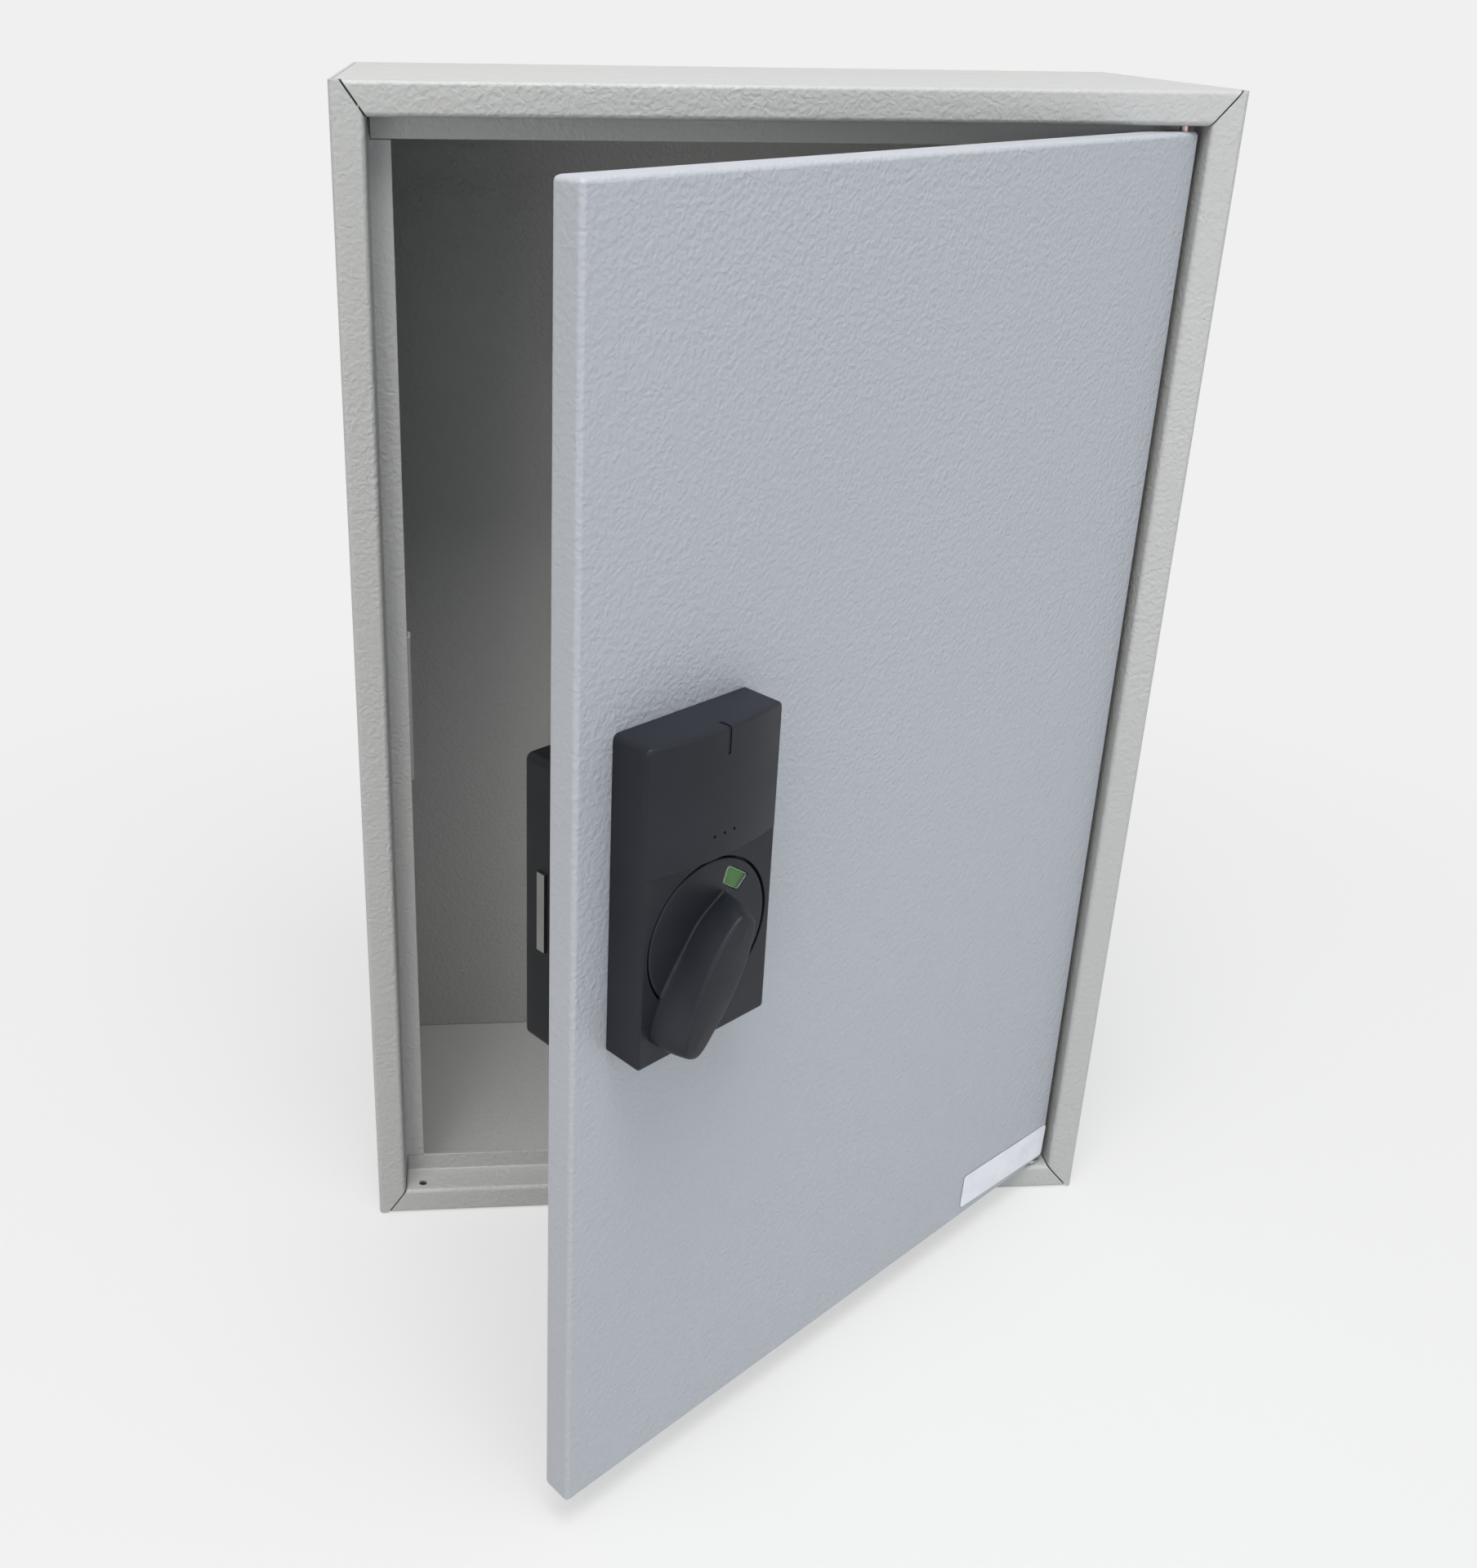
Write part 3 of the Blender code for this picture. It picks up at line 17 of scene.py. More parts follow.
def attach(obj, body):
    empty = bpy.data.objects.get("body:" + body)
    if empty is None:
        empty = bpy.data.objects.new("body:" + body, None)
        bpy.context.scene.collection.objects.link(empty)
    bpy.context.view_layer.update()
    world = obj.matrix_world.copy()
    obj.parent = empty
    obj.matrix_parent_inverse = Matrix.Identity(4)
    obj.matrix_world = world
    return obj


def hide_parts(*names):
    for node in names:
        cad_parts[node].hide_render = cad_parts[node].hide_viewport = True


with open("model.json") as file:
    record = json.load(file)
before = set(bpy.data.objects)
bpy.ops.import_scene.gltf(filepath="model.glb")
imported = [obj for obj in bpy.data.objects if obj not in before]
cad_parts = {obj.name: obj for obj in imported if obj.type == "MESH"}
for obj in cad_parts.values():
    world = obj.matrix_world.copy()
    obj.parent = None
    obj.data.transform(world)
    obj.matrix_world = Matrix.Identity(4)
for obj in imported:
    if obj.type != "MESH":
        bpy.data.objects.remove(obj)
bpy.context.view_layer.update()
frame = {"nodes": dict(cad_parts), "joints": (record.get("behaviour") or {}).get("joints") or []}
LOG = logging.getLogger("key_cabinet")

Colour = tuple[float, float, float]
Socket = bpy.types.NodeSocket
Piece = bpy.types.Object


class Body(Enum):
    """The bodies that pieces ride on."""

    CABINET = "cabinet"
    DOOR = "door"
    THUMBTURN = "thumbturn"
    BOLT = "bolt"


class Slot(Enum):
    """The record's material slots."""

    COAT = "powder_coat"
    PLASTIC = "black_plastic"
    STEEL = "bright_steel"
    ZINC = "zinc_plate"
    COPPER = "coppered_steel"
    NYLON = "nylon"
    GREEN = "indicator_green"
    CLEAR = "clear_plastic"
    BOARD = "circuit_board"
    LABEL = "label_film"
    CELL = "cell_jacket"


# Where the lock sits


@dataclass(frozen=True)
class LockSpace:
    """The lock's own directions: across towards the hinge, up, and out of the door."""

    origin: Vector
    out: Vector

    @classmethod
    def from_frame(cls) -> "LockSpace":
        """Read the thumbturn's axis from the frame.

        Returns:
            The lock's place and direction at rest.
        """
        joint = next(joint for joint in frame["joints"] if joint["name"] == "thumbturn_turn")
        return cls(Vector(joint["pos_m"]), Vector(joint["axis"]).normalized())

    @property
    def across(self) -> Vector:
        """Direction along the door, towards its hinge."""
        return Vector((-self.out.y, self.out.x, 0.0))

    def matrix(self, turn: float = 0.0) -> Matrix:
        """Place of things on the lock, in the frame.

        Args:
            turn: Turn about the outward axis, in degrees, clockwise from outside.

        Returns:
            The matrix from the lock's directions to the frame's.
        """
        columns = (self.across, Vector((0.0, 0.0, 1.0)), self.out)
        turned = Matrix([[column[row] for column in columns] for row in range(3)]).to_4x4()
        return Matrix.Translation(self.origin) @ turned @ Matrix.Rotation(math.radians(-turn), 4, "Z")


LOCK = LockSpace.from_frame()


# Node trees


class Board:
    """The node tree of a material or a world, with short calls that add nodes and join them."""

    def __init__(self, name: str, world: bool = False) -> None:
        """Start an empty tree.

        Args:
            name: Name of the material or world.
            world: Whether it is a world.
        """
        store = bpy.data.worlds if world else bpy.data.materials
        self.owner = store.new(name)
        self.owner.use_nodes = True
        self.tree = self.owner.node_tree
        self.tree.nodes.clear()
        self.coordinates = self.add("ShaderNodeTexCoord").outputs["Object"]

    def add(self, kind: str, inputs: dict[str | int, object] | None = None,
            **settings: object) -> bpy.types.Node:
        """Add one node.

        Args:
            kind: Blender's name of the node's type.
            inputs: What each socket takes: a value, or another node's output.
            settings: The node's own settings.

        Returns:
            The node.
        """
        node = self.tree.nodes.new(kind)
        for key, value in settings.items():
            setattr(node, key, value)
        for key, value in (inputs or {}).items():
            socket = node.inputs[key]
            if isinstance(value, bpy.types.NodeSocket):
                self.tree.links.new(value, socket)
            else:
                socket.default_value = value
        return node

    def moved(self, scale: Sequence[float], place: Sequence[float] = (0.0, 0.0, 0.0)) -> Socket:
        """Object coordinates, stretched and moved.

        Args:
            scale: Stretch along each axis.
            place: What is added.

        Returns:
            The vector's socket.
        """
        values = {"Vector": self.coordinates, "Scale": scale, "Location": place}
        return self.add("ShaderNodeMapping", values).outputs["Vector"]

    def noise(self, scale: float, detail: float = 2.0, roughness: float = 0.5, distortion: float = 0.0,
              vector: Socket | None = None) -> Socket:
        """A noise texture.

        Args:
            scale: Cells for each metre.
            detail: Number of finer layers.
            roughness: Strength of the finer layers.
            distortion: How far the cells are pulled about.
            vector: Coordinates, or the object's own.

        Returns:
            The noise, from 0 to 1.
        """
        values = {"Vector": vector or self.coordinates, "Scale": scale, "Detail": detail,
                  "Roughness": roughness, "Distortion": distortion}
        return self.add("ShaderNodeTexNoise", values).outputs["Fac"]

    def cells(self, scale: float, smooth: float = 0.6, vector: Socket | None = None, output: str = "Distance",
              feature: str = "SMOOTH_F1") -> Socket:
        """A Voronoi texture.

        Args:
            scale: Cells for each metre.
            smooth: Softness of the borders between cells, where the feature is smooth.
            vector: Coordinates, or the object's own.
            output: Which output is used.
            feature: Blender's name of the feature.

        Returns:
            The chosen output.
        """
        values = {"Vector": vector or self.coordinates, "Scale": scale}
        if feature == "SMOOTH_F1":
            values["Smoothness"] = smooth
        return self.add("ShaderNodeTexVoronoi", values, feature=feature).outputs[output]

    def math(self, operation: str, *values: object, clamp: bool = False) -> Socket:
        """Arithmetic on one to three values.

        Args:
            operation: Blender's name of the operation.
            values: Numbers or sockets.
            clamp: Keep the result between 0 and 1.

        Returns:
            The result's socket.
        """
        inputs = dict(enumerate(values))
        return self.add("ShaderNodeMath", inputs, operation=operation, use_clamp=clamp).outputs[0]

    def span(self, value: Socket, low: float, high: float, to_low: float, to_high: float) -> Socket:
        """Map one range of values to another, and stop at its ends.

        Args:
            value: What is mapped.
            low: Start of the range.
            high: End of the range.
            to_low: What the start becomes.
            to_high: What the end becomes.

        Returns:
            The mapped value.
        """
        values = {"Value": value, "From Min": low, "From Max": high, "To Min": to_low, "To Max": to_high}
        return self.add("ShaderNodeMapRange", values).outputs["Result"]

    def mix(self, share: Socket | float, first: object, second: object) -> Socket:
        """Mix two colours.

        Args:
            share: Share of the second colour.
            first: Colour or socket.
            second: Colour or socket.

        Returns:
            The mixed colour.
        """
        node = self.add("ShaderNodeMix", data_type="RGBA")
        for index, value in ((0, share), (6, first), (7, second)):
            if isinstance(value, bpy.types.NodeSocket):
                self.tree.links.new(value, node.inputs[index])
            else:
                node.inputs[index].default_value = value if index == 0 else (*value, 1.0)
        return node.outputs[2]

    def ramp(self, value: Socket, stops: Sequence[tuple[float, Colour]], hard: bool = False) -> Socket:
        """Colours along a value.

        Args:
            value: From 0 to 1.
            stops: Place and colour of each stop.
            hard: Whether the colours change at once.

        Returns:
            The colour.
        """
        node = self.add("ShaderNodeValToRGB", {"Fac": value})
        ramp = node.color_ramp
        ramp.interpolation = "CONSTANT" if hard else "LINEAR"
        for place, _ in stops[2:]:
            ramp.elements.new(place)
        for element, (place, colour) in zip(ramp.elements, stops):
            element.position = place
            element.color = (*colour, 1.0)
        return node.outputs["Color"]

    def bump(self, height: Socket, strength: float, distance: float) -> Socket:
        """Turn heights into a bent normal.

        Args:
            height: Heights, from 0 to 1.
            strength: How much of the bump shows.
            distance: Height of 1, in metres.

        Returns:
            The normal.
        """
        values = {"Height": height, "Strength": strength, "Distance": distance}
        return self.add("ShaderNodeBump", values).outputs["Normal"]

    def looked_at(self) -> Socket:
        """Tell where a camera, glossy or transmission ray looks.

        Returns:
            One for such a ray, nothing for the others.
        """
        path = self.add("ShaderNodeLightPath").outputs
        straight = self.math("ADD", path["Is Camera Ray"], path["Is Glossy Ray"], clamp=True)
        return self.math("ADD", straight, path["Is Transmission Ray"], clamp=True)

    def surface(self, **inputs: object) -> bpy.types.Material:
        """Finish the material with a Principled BSDF.

        Args:
            inputs: The shader's sockets, with _ for each blank in a name.

        Returns:
            The material.
        """
        named = {key.replace("_", " "): value for key, value in inputs.items()}
        if isinstance(named["Base Color"], tuple):
            named["Base Color"] = (*named["Base Color"], 1.0)
        shader = self.add("ShaderNodeBsdfPrincipled", named)
        self.add("ShaderNodeOutputMaterial", {"Surface": shader.outputs[0]})
        return self.owner


# Finishes


@dataclass(frozen=True)
class PowderCoat:
    """Textured powder coat: a crinkled orange peel over an even grey."""

    name: str = "powder_coat"
    colour: Colour = (0.455, 0.462, 0.455)
    warm: Colour = (0.475, 0.475, 0.462)
    peel_scale: float = 450.0
    peel_height: float = 0.0009
    peel_strength: float = 0.64
    roughness: float = 0.42
    dust: Colour = (0.38, 0.385, 0.385)
    dust_share: float = 0.10
    drift_scale: float = 2.6
    speck_scale: float = 1400.0
    pull_scale: float = 150.0
    fade_scale: float = 5.5
    sheen_scale: float = 60.0

    def build(self) -> bpy.types.Material:
        """Make the material.

        Returns:
            The powder coat.
        """
        board = Board(self.name)
        drift = board.noise(self.drift_scale, 1.0)
        speck = board.span(board.noise(self.speck_scale, 1.0), 0.30, 0.70, 0.0, 1.0)
        base = board.mix(board.span(drift, 0.35, 0.65, 0.0, 1.0), self.colour, self.warm)
        dusty = board.mix(board.math("MULTIPLY", speck, self.dust_share), base, self.dust)
        pull = board.noise(self.pull_scale, 1.0)
        pulls = {axis: board.math("MULTIPLY", pull, reach)
                 for axis, reach in (("X", 0.004), ("Y", -0.003), ("Z", 0.003))}
        drawn = board.add("ShaderNodeCombineXYZ", pulls).outputs[0]
        wander = board.add("ShaderNodeVectorMath", {0: board.coordinates, 1: drawn},
                           operation="ADD").outputs[0]
        cell = board.cells(self.peel_scale, 0.8, wander)
        crinkle = board.noise(self.peel_scale * 0.72, 1.5, 0.45, 0.9, wander)
        height = board.math("ADD", board.math("MULTIPLY", cell, 0.55), board.math("MULTIPLY", crinkle, 0.75))
        fade = board.span(board.noise(self.fade_scale, 0.5), 0.38, 0.60, 0.75, 1.0)
        normal = board.bump(board.math("MULTIPLY", height, fade), self.peel_strength, self.peel_height)
        sheen = board.noise(self.sheen_scale, 2.0)
        rough = board.span(sheen, 0.3, 0.7, self.roughness - 0.04, self.roughness + 0.06)
        return board.surface(Base_Color=dusty, Roughness=rough, Normal=normal, Specular_IOR_Level=0.5)


@dataclass(frozen=True)
class MouldedPlastic:
    """Black satin moulding with a fine spark-eroded grain."""

    name: str = "black_plastic"
    colour: Colour = (0.0112, 0.0128, 0.0185)
    worn: Colour = (0.0165, 0.0185, 0.0250)
    roughness: float = 0.42
    grain_strength: float = 0.20
    gloss: float = 0.24
    grain_scale: float = 3600.0
    grain_height: float = 0.00004
    cloud_scale: float = 24.0
    sheen_scale: float = 38.0

    def build(self) -> bpy.types.Material:
        """Make the material.

        Returns:
            The moulded plastic.
        """
        board = Board(self.name)
        cloud = board.span(board.noise(self.cloud_scale, 3.0), 0.35, 0.70, 0.0, 1.0)
        base = board.mix(cloud, self.colour, self.worn)
        grain = board.noise(self.grain_scale, 2.0, 0.6)
        sheen = board.noise(self.sheen_scale, 3.0)
        rough = board.span(sheen, 0.3, 0.7, self.roughness - 0.04, self.roughness + 0.05)
        normal = board.bump(grain, self.grain_strength, self.grain_height)
        return board.surface(Base_Color=base, Roughness=rough, Normal=normal, Specular_IOR_Level=self.gloss)


@dataclass(frozen=True)
class PlatedMetal:
    """Plated steel with fine drawn lines and faint clouding."""

    name: str
    colour: Colour
    clouded: Colour
    roughness: float = 0.30
    lines: tuple[float, float, float] = (60.0, 60.0, 2400.0)
    line_strength: float = 0.10
    spangle: float = 0.0
    line_height: float = 0.00003
    cloud_scale: float = 45.0

    def build(self) -> bpy.types.Material:
        """Make the material.

        Returns:
            The plated metal.
        """
        board = Board(self.name)
        cloud = board.noise(self.cloud_scale, 3.0)
        if self.spangle:
            flake = board.cells(self.spangle, output="Color", feature="F1")
            cloud = board.math("ADD", board.math("MULTIPLY", cloud, 0.6), board.math("MULTIPLY", flake, 0.4))
        base = board.mix(board.span(cloud, 0.3, 0.7, 0.0, 1.0), self.colour, self.clouded)
        drawn = board.noise(1.0, 2.0, 0.6, vector=board.moved(self.lines))
        rough = board.span(drawn, 0.3, 0.7, self.roughness - 0.05, self.roughness + 0.08)
        normal = board.bump(drawn, self.line_strength, self.line_height)
        return board.surface(Base_Color=base, Roughness=rough, Metallic=1.0, Normal=normal)


@dataclass(frozen=True)
class Nylon:
    """Natural nylon of the pivot bushes."""

    name: str = "nylon"
    colour: Colour = (0.80, 0.79, 0.74)
    yellowed: Colour = (0.72, 0.69, 0.60)
    cloud_scale: float = 180.0
    grain_scale: float = 2200.0
    grain_height: float = 0.00003
    roughness: float = 0.48

    def build(self) -> bpy.types.Material:
        """Make the material.

        Returns:
            The nylon.
        """
        board = Board(self.name)
        cloud = board.span(board.noise(self.cloud_scale, 2.0), 0.4, 0.75, 0.0, 1.0)
        base = board.mix(cloud, self.colour, self.yellowed)
        normal = board.bump(board.noise(self.grain_scale, 1.0), 0.15, self.grain_height)
        return board.surface(Base_Color=base, Roughness=self.roughness, Normal=normal)


@dataclass(frozen=True)
class ClearPlastic:
    """Clear, faintly green moulding of the window's lens."""

    name: str = "clear_plastic"
    colour: Colour = (0.74, 0.90, 0.66)
    roughness: float = 0.06
    scuff_scale: float = 900.0
    refraction: float = 1.40
    gloss: float = 0.2

    def build(self) -> bpy.types.Material:
        """Make the material.

        Returns:
            The clear plastic.
        """
        board = Board(self.name)
        scuffs = board.noise(self.scuff_scale, 3.0, 0.6, vector=board.moved((1.0, 1.0, 0.2)))
        rough = board.span(scuffs, 0.45, 0.75, self.roughness, self.roughness + 0.08)
        return board.surface(Base_Color=self.colour, Roughness=rough, Transmission_Weight=1.0,
                             IOR=self.refraction, Specular_IOR_Level=self.gloss)


@dataclass(frozen=True)
class FrostedRim:
    """Frosted border moulded round the lens."""

    name: str = "frosted_rim"
    colour: Colour = (0.50, 0.56, 0.50)
    shade: float = 0.8
    cloud_scale: float = 500.0
    grain_scale: float = 2600.0
    grain_height: float = 0.00004
    roughness: float = 0.42

    def build(self) -> bpy.types.Material:
        """Make the material.

        Returns:
            The frosted plastic.
        """
        board = Board(self.name)
        darker = tuple(self.shade * share for share in self.colour)
        base = board.mix(board.noise(self.cloud_scale, 2.0), self.colour, darker)
        normal = board.bump(board.noise(self.grain_scale, 1.0), 0.25, self.grain_height)
        return board.surface(Base_Color=base, Roughness=self.roughness, Normal=normal)


@dataclass(frozen=True)
class StateDisc:
    """Printed disc under the window: green where the lock is open, red where it is shut."""

    name: str = "indicator_green"
    open_colour: Colour = (0.040, 0.220, 0.010)
    shut_colour: Colour = (0.50, 0.035, 0.025)
    plain_colour: Colour = (0.05, 0.052, 0.055)
    open_angle: float = 35.2
    travel: float = 60.0
    half_sector: float = 19.0
    speckled: Colour = (0.02, 0.08, 0.02)
    speck_scale: float = 2400.0
    roughness: float = 0.65
    gloss: float = 0.1

    def build(self) -> bpy.types.Material:
        """Make the material.

        Returns:
            The printed disc.
        """
        board = Board(self.name)
        offset = board.add("ShaderNodeVectorMath", {0: board.coordinates, 1: LOCK.origin},
                           operation="SUBTRACT").outputs[0]
        along = board.add("ShaderNodeVectorMath", {0: offset, 1: LOCK.across},
                          operation="DOT_PRODUCT").outputs["Value"]
        rise = board.add("ShaderNodeSeparateXYZ", {0: offset}).outputs["Z"]
        angle = board.math("MULTIPLY", board.math("ARCTAN2", along, rise), 180.0 / math.pi)
        share = board.span(angle, -90.0, 90.0, 0.0, 1.0)

        def place(degrees: float) -> float:
            """Where an angle lies along the ramp."""
            return (degrees + 90.0) / 180.0

        shut = self.open_angle - self.travel
        stops = [(0.0, self.plain_colour), (place(shut - self.half_sector), self.shut_colour),
                 (place(shut + self.half_sector), self.plain_colour),
                 (place(self.open_angle - self.half_sector), self.open_colour),
                 (place(self.open_angle + self.half_sector), self.plain_colour)]
        print_colour = board.ramp(share, stops, hard=True)
        speck = board.span(board.noise(self.speck_scale, 1.0), 0.45, 0.8, 0.0, 0.25)
        base = board.mix(speck, print_colour, self.speckled)
        return board.surface(Base_Color=base, Roughness=self.roughness, Specular_IOR_Level=self.gloss)


@dataclass(frozen=True)
class CircuitBoard:
    """Solder mask with pale pads in rows."""

    name: str = "circuit_board"
    mask: Colour = (0.015, 0.13, 0.04)
    pad: Colour = (0.55, 0.50, 0.30)
    track: Colour = (0.03, 0.22, 0.07)
    pad_scale: float = 320.0
    track_scale: float = 220.0
    pad_height: float = 0.0001

    def build(self) -> bpy.types.Material:
        """Make the material.

        Returns:
            The circuit board.
        """
        board = Board(self.name)
        pads = board.math("LESS_THAN", board.cells(self.pad_scale, feature="F1"), 0.22)
        runs = board.noise(self.track_scale, 0.0, vector=board.moved((1.0, 1.0, 0.15)))
        tracks = board.math("GREATER_THAN", runs, 0.58)
        mask = board.mix(board.math("MULTIPLY", tracks, 0.5), self.mask, self.track)
        return board.surface(Base_Color=board.mix(pads, mask, self.pad), Roughness=0.4,
                             Normal=board.bump(pads, 0.3, self.pad_height))


@dataclass(frozen=True)
class LabelFilm:
    """Blank white label film, faintly dulled at random."""

    name: str = "label_film"
    colour: Colour = (0.80, 0.81, 0.86)
    dulled: Colour = (0.72, 0.73, 0.78)
    dull_scale: float = 70.0
    ripple_scale: float = 420.0
    ripple_height: float = 0.00008
    sheen_scale: float = 160.0

    def build(self) -> bpy.types.Material:
        """Make the material.

        Returns:
            The label film.
        """
        board = Board(self.name)
        dull = board.span(board.noise(self.dull_scale, 4.0, 0.6), 0.40, 0.70, 0.0, 1.0)
        base = board.mix(dull, self.colour, self.dulled)
        normal = board.bump(board.noise(self.ripple_scale, 2.0), 0.10, self.ripple_height)
        rough = board.span(board.noise(self.sheen_scale, 2.0), 0.3, 0.7, 0.34, 0.44)
        return board.surface(Base_Color=base, Roughness=rough, Normal=normal)


@dataclass(frozen=True)
class CellJacket:
    """Plain shrink jacket of the battery cells, with a paler band."""

    name: str = "cell_jacket"
    colour: Colour = (0.035, 0.036, 0.042)
    band: Colour = (0.32, 0.33, 0.34)
    scuff: Colour = (0.12, 0.12, 0.12)
    scuff_scale: float = 260.0
    cell_pitch: float = 0.0513
    cell_start: float = 0.0463
    roughness: float = 0.32

    def build(self) -> bpy.types.Material:
        """Make the material.

        Returns:
            The jacket.
        """
        board = Board(self.name)
        rise = board.add("ShaderNodeSeparateXYZ", {0: board.coordinates}).outputs["Z"]
        place = board.math("DIVIDE", board.math("ADD", rise, self.cell_start), self.cell_pitch)
        share = board.math("FRACT", place)
        base = board.ramp(share, [(0.0, self.band), (0.06, self.colour), (0.88, self.band)], hard=True)
        scuffs = board.span(board.noise(self.scuff_scale, 3.0), 0.5, 0.8, 0.0, 0.3)
        return board.surface(Base_Color=board.mix(scuffs, base, self.scuff), Roughness=self.roughness)


@dataclass(frozen=True)
class DarkGlass:
    """Smoked light guide of the status light."""

    name: str = "smoked_guide"
    colour: Colour = (0.008, 0.008, 0.010)
    clouded: Colour = (0.014, 0.014, 0.017)
    cloud_scale: float = 300.0
    roughness: float = 0.45
    gloss: float = 0.2

    def build(self) -> bpy.types.Material:
        """Make the material.

        Returns:
            The smoked plastic.
        """
        board = Board(self.name)
        base = board.mix(board.noise(self.cloud_scale, 2.0), self.colour, self.clouded)
        return board.surface(Base_Color=base, Roughness=self.roughness, Specular_IOR_Level=self.gloss)


class Palette:
    """Every finish, made once and handed out by slot."""

    def __init__(self) -> None:
        """Build the materials."""
        zinc = PlatedMetal("zinc_plate", (0.56, 0.565, 0.56), (0.46, 0.465, 0.46), 0.36, spangle=90.0)
        steel = PlatedMetal("bright_steel", (0.25, 0.25, 0.245), (0.20, 0.20, 0.195), 0.42)
        copper = PlatedMetal("coppered_steel", (0.46, 0.33, 0.30), (0.36, 0.26, 0.24), 0.38)
        # The door's coat is the frame's powder coat painted bluer and a little darker, a painted bluish sky
        # reflection on the door rather than a different paint.
        self.door_coat_painted_sky_tint = PowderCoat("powder_coat_door_painted_sky_tint", (0.418, 0.438, 0.478), (0.436, 0.455, 0.492)).build()
        self.rim = FrostedRim().build()
        self.guide = DarkGlass().build()
        # The case's plastic is the housing's black plastic painted darker and duller, painted shade for the
        # case on the shaded inside of the door.
        self.case = MouldedPlastic("black_case_painted_shade", (0.0080, 0.0088, 0.0105), (0.0110, 0.0118, 0.0135), 0.50,
                                   gloss=0.14).build()
        finishes = {Slot.COAT: PowderCoat(), Slot.PLASTIC: MouldedPlastic(), Slot.STEEL: steel,
                    Slot.ZINC: zinc, Slot.COPPER: copper, Slot.NYLON: Nylon(), Slot.GREEN: StateDisc(),
                    Slot.CLEAR: ClearPlastic(), Slot.BOARD: CircuitBoard(), Slot.LABEL: LabelFilm(),
                    Slot.CELL: CellJacket()}
        self.by_slot = {slot: finish.build() for slot, finish in finishes.items()}

    def dress(self, piece: Piece, slot: Slot, material: bpy.types.Material | None = None) -> Piece:
        """Give a piece one finish all over.

        Args:
            piece: The piece or CAD node.
            slot: The record's slot of the finish.
            material: Another version of that finish, if one is meant.

        Returns:
            The piece.
        """
        piece.data.materials.clear()
        piece.data.materials.append(material or self.by_slot[slot])
        return piece


# Work at the bench


class Bench:
    """Short calls over Blender's operators, each from a known selection."""

    @staticmethod
    def rest() -> None:
        """Leave edit mode and deselect all."""
        active = bpy.context.view_layer.objects.active
        if active is not None and active.mode != "OBJECT":
            bpy.ops.object.mode_set(mode="OBJECT")
        bpy.ops.object.select_all(action="DESELECT")

    @classmethod
    def take(cls, piece: Piece, *others: Piece) -> Piece:
        """Select pieces and make the first one active.

        Args:
            piece: The active piece.
            others: More pieces to select.

        Returns:
            The active piece.
        """
        cls.rest()
        for one in (piece, *others):
            one.select_set(True)
        bpy.context.view_layer.objects.active = piece
        return piece

    @classmethod
    def start(cls, add: Callable[..., object], name: str, **values: object) -> Piece:
        """Add a primitive and name it.

        Args:
            add: The operator that adds it.
            name: Name of the piece.
            values: The operator's values.

        Returns:
            The new piece.
        """
        cls.rest()
        add(**values)
        piece = bpy.context.view_layer.objects.active
        piece.name = piece.data.name = name
        return piece

    @classmethod
    def edit(cls, piece: Piece, chosen: Callable[[bmesh.types.BMesh], Sequence[object]] | None,
             *work: Callable[[], object]) -> Piece:
        """Select parts of a mesh in edit mode and run operators on them.

        Args:
            piece: The piece.
            chosen: Picks vertices, edges or faces, or None for all of the mesh.
            work: Operators, run one after another.

        Returns:
            The piece.
        """
        cls.take(piece)
        bpy.ops.object.mode_set(mode="EDIT")
        bpy.ops.mesh.select_mode(type="VERT")
        bpy.ops.mesh.select_all(action="SELECT" if chosen is None else "DESELECT")
        if chosen is not None:
            mesh = bmesh.from_edit_mesh(piece.data)
            for part in chosen(mesh):
                part.select_set(True)
            mesh.select_flush(True)
            bmesh.update_edit_mesh(piece.data)
        for operator in work:
            operator()
        bpy.ops.object.mode_set(mode="OBJECT")
        return piece

    @classmethod
    def modify(cls, piece: Piece, kind: str, **settings: object) -> Piece:
        """Add a modifier and apply it.

        Args:
            piece: The piece.
            kind: Blender's name of the modifier's type.
            settings: Its settings.

        Returns:
            The piece.
        """
        cls.take(piece)
        modifier = piece.modifiers.new(kind.lower(), kind)
        for key, value in settings.items():
            setattr(modifier, key, value)
        bpy.ops.object.modifier_apply(modifier=modifier.name)
        return piece

    @classmethod
    def soften(cls, piece: Piece, width: float, steps: int = 2, angle: float = 50.0) -> Piece:
        """Round the sharp edges.

        Args:
            piece: The piece.
            width: Width of the rounding.
            steps: Faces across it.
            angle: Least angle of an edge that is rounded, in degrees.

        Returns:
            The piece.
        """
        return cls.modify(piece, "BEVEL", width=width, segments=steps, limit_method="ANGLE",
                          angle_limit=math.radians(angle), use_clamp_overlap=True)

    @classmethod
    def shade(cls, piece: Piece, angle: float = 38.0) -> Piece:
        """Shade a piece smoothly, with its flats kept flat.

        Args:
            piece: The piece.
            angle: Edges sharper than this stay sharp, in degrees.

        Returns:
            The piece.
        """
        cls.take(piece)
        bpy.ops.object.shade_smooth_by_angle(angle=math.radians(angle), keep_sharp_edges=False)
        return cls.modify(piece, "WEIGHTED_NORMAL", weight=80, keep_sharp=True)

    @classmethod
    def cut(cls, piece: Piece, tool: Piece) -> Piece:
        """Cut one mesh out of another and remove the tool.

        Args:
            piece: What is cut.
            tool: What cuts it.

        Returns:
            The piece.
        """
        cls.modify(piece, "BOOLEAN", object=tool, operation="DIFFERENCE", solver="EXACT")
        bpy.data.objects.remove(tool, do_unlink=True)
        return piece

    @classmethod
    def place(cls, piece: Piece, matrix: Matrix) -> Piece:
        """Put a piece where it belongs, with its place in its mesh.

        Args:
            piece: The piece.
            matrix: Its place in the frame.

        Returns:
            The piece.
        """
        bpy.context.view_layer.update()
        piece.matrix_world = matrix @ piece.matrix_world
        cls.take(piece)
        bpy.ops.object.transform_apply(location=True, rotation=True, scale=True)
        return piece

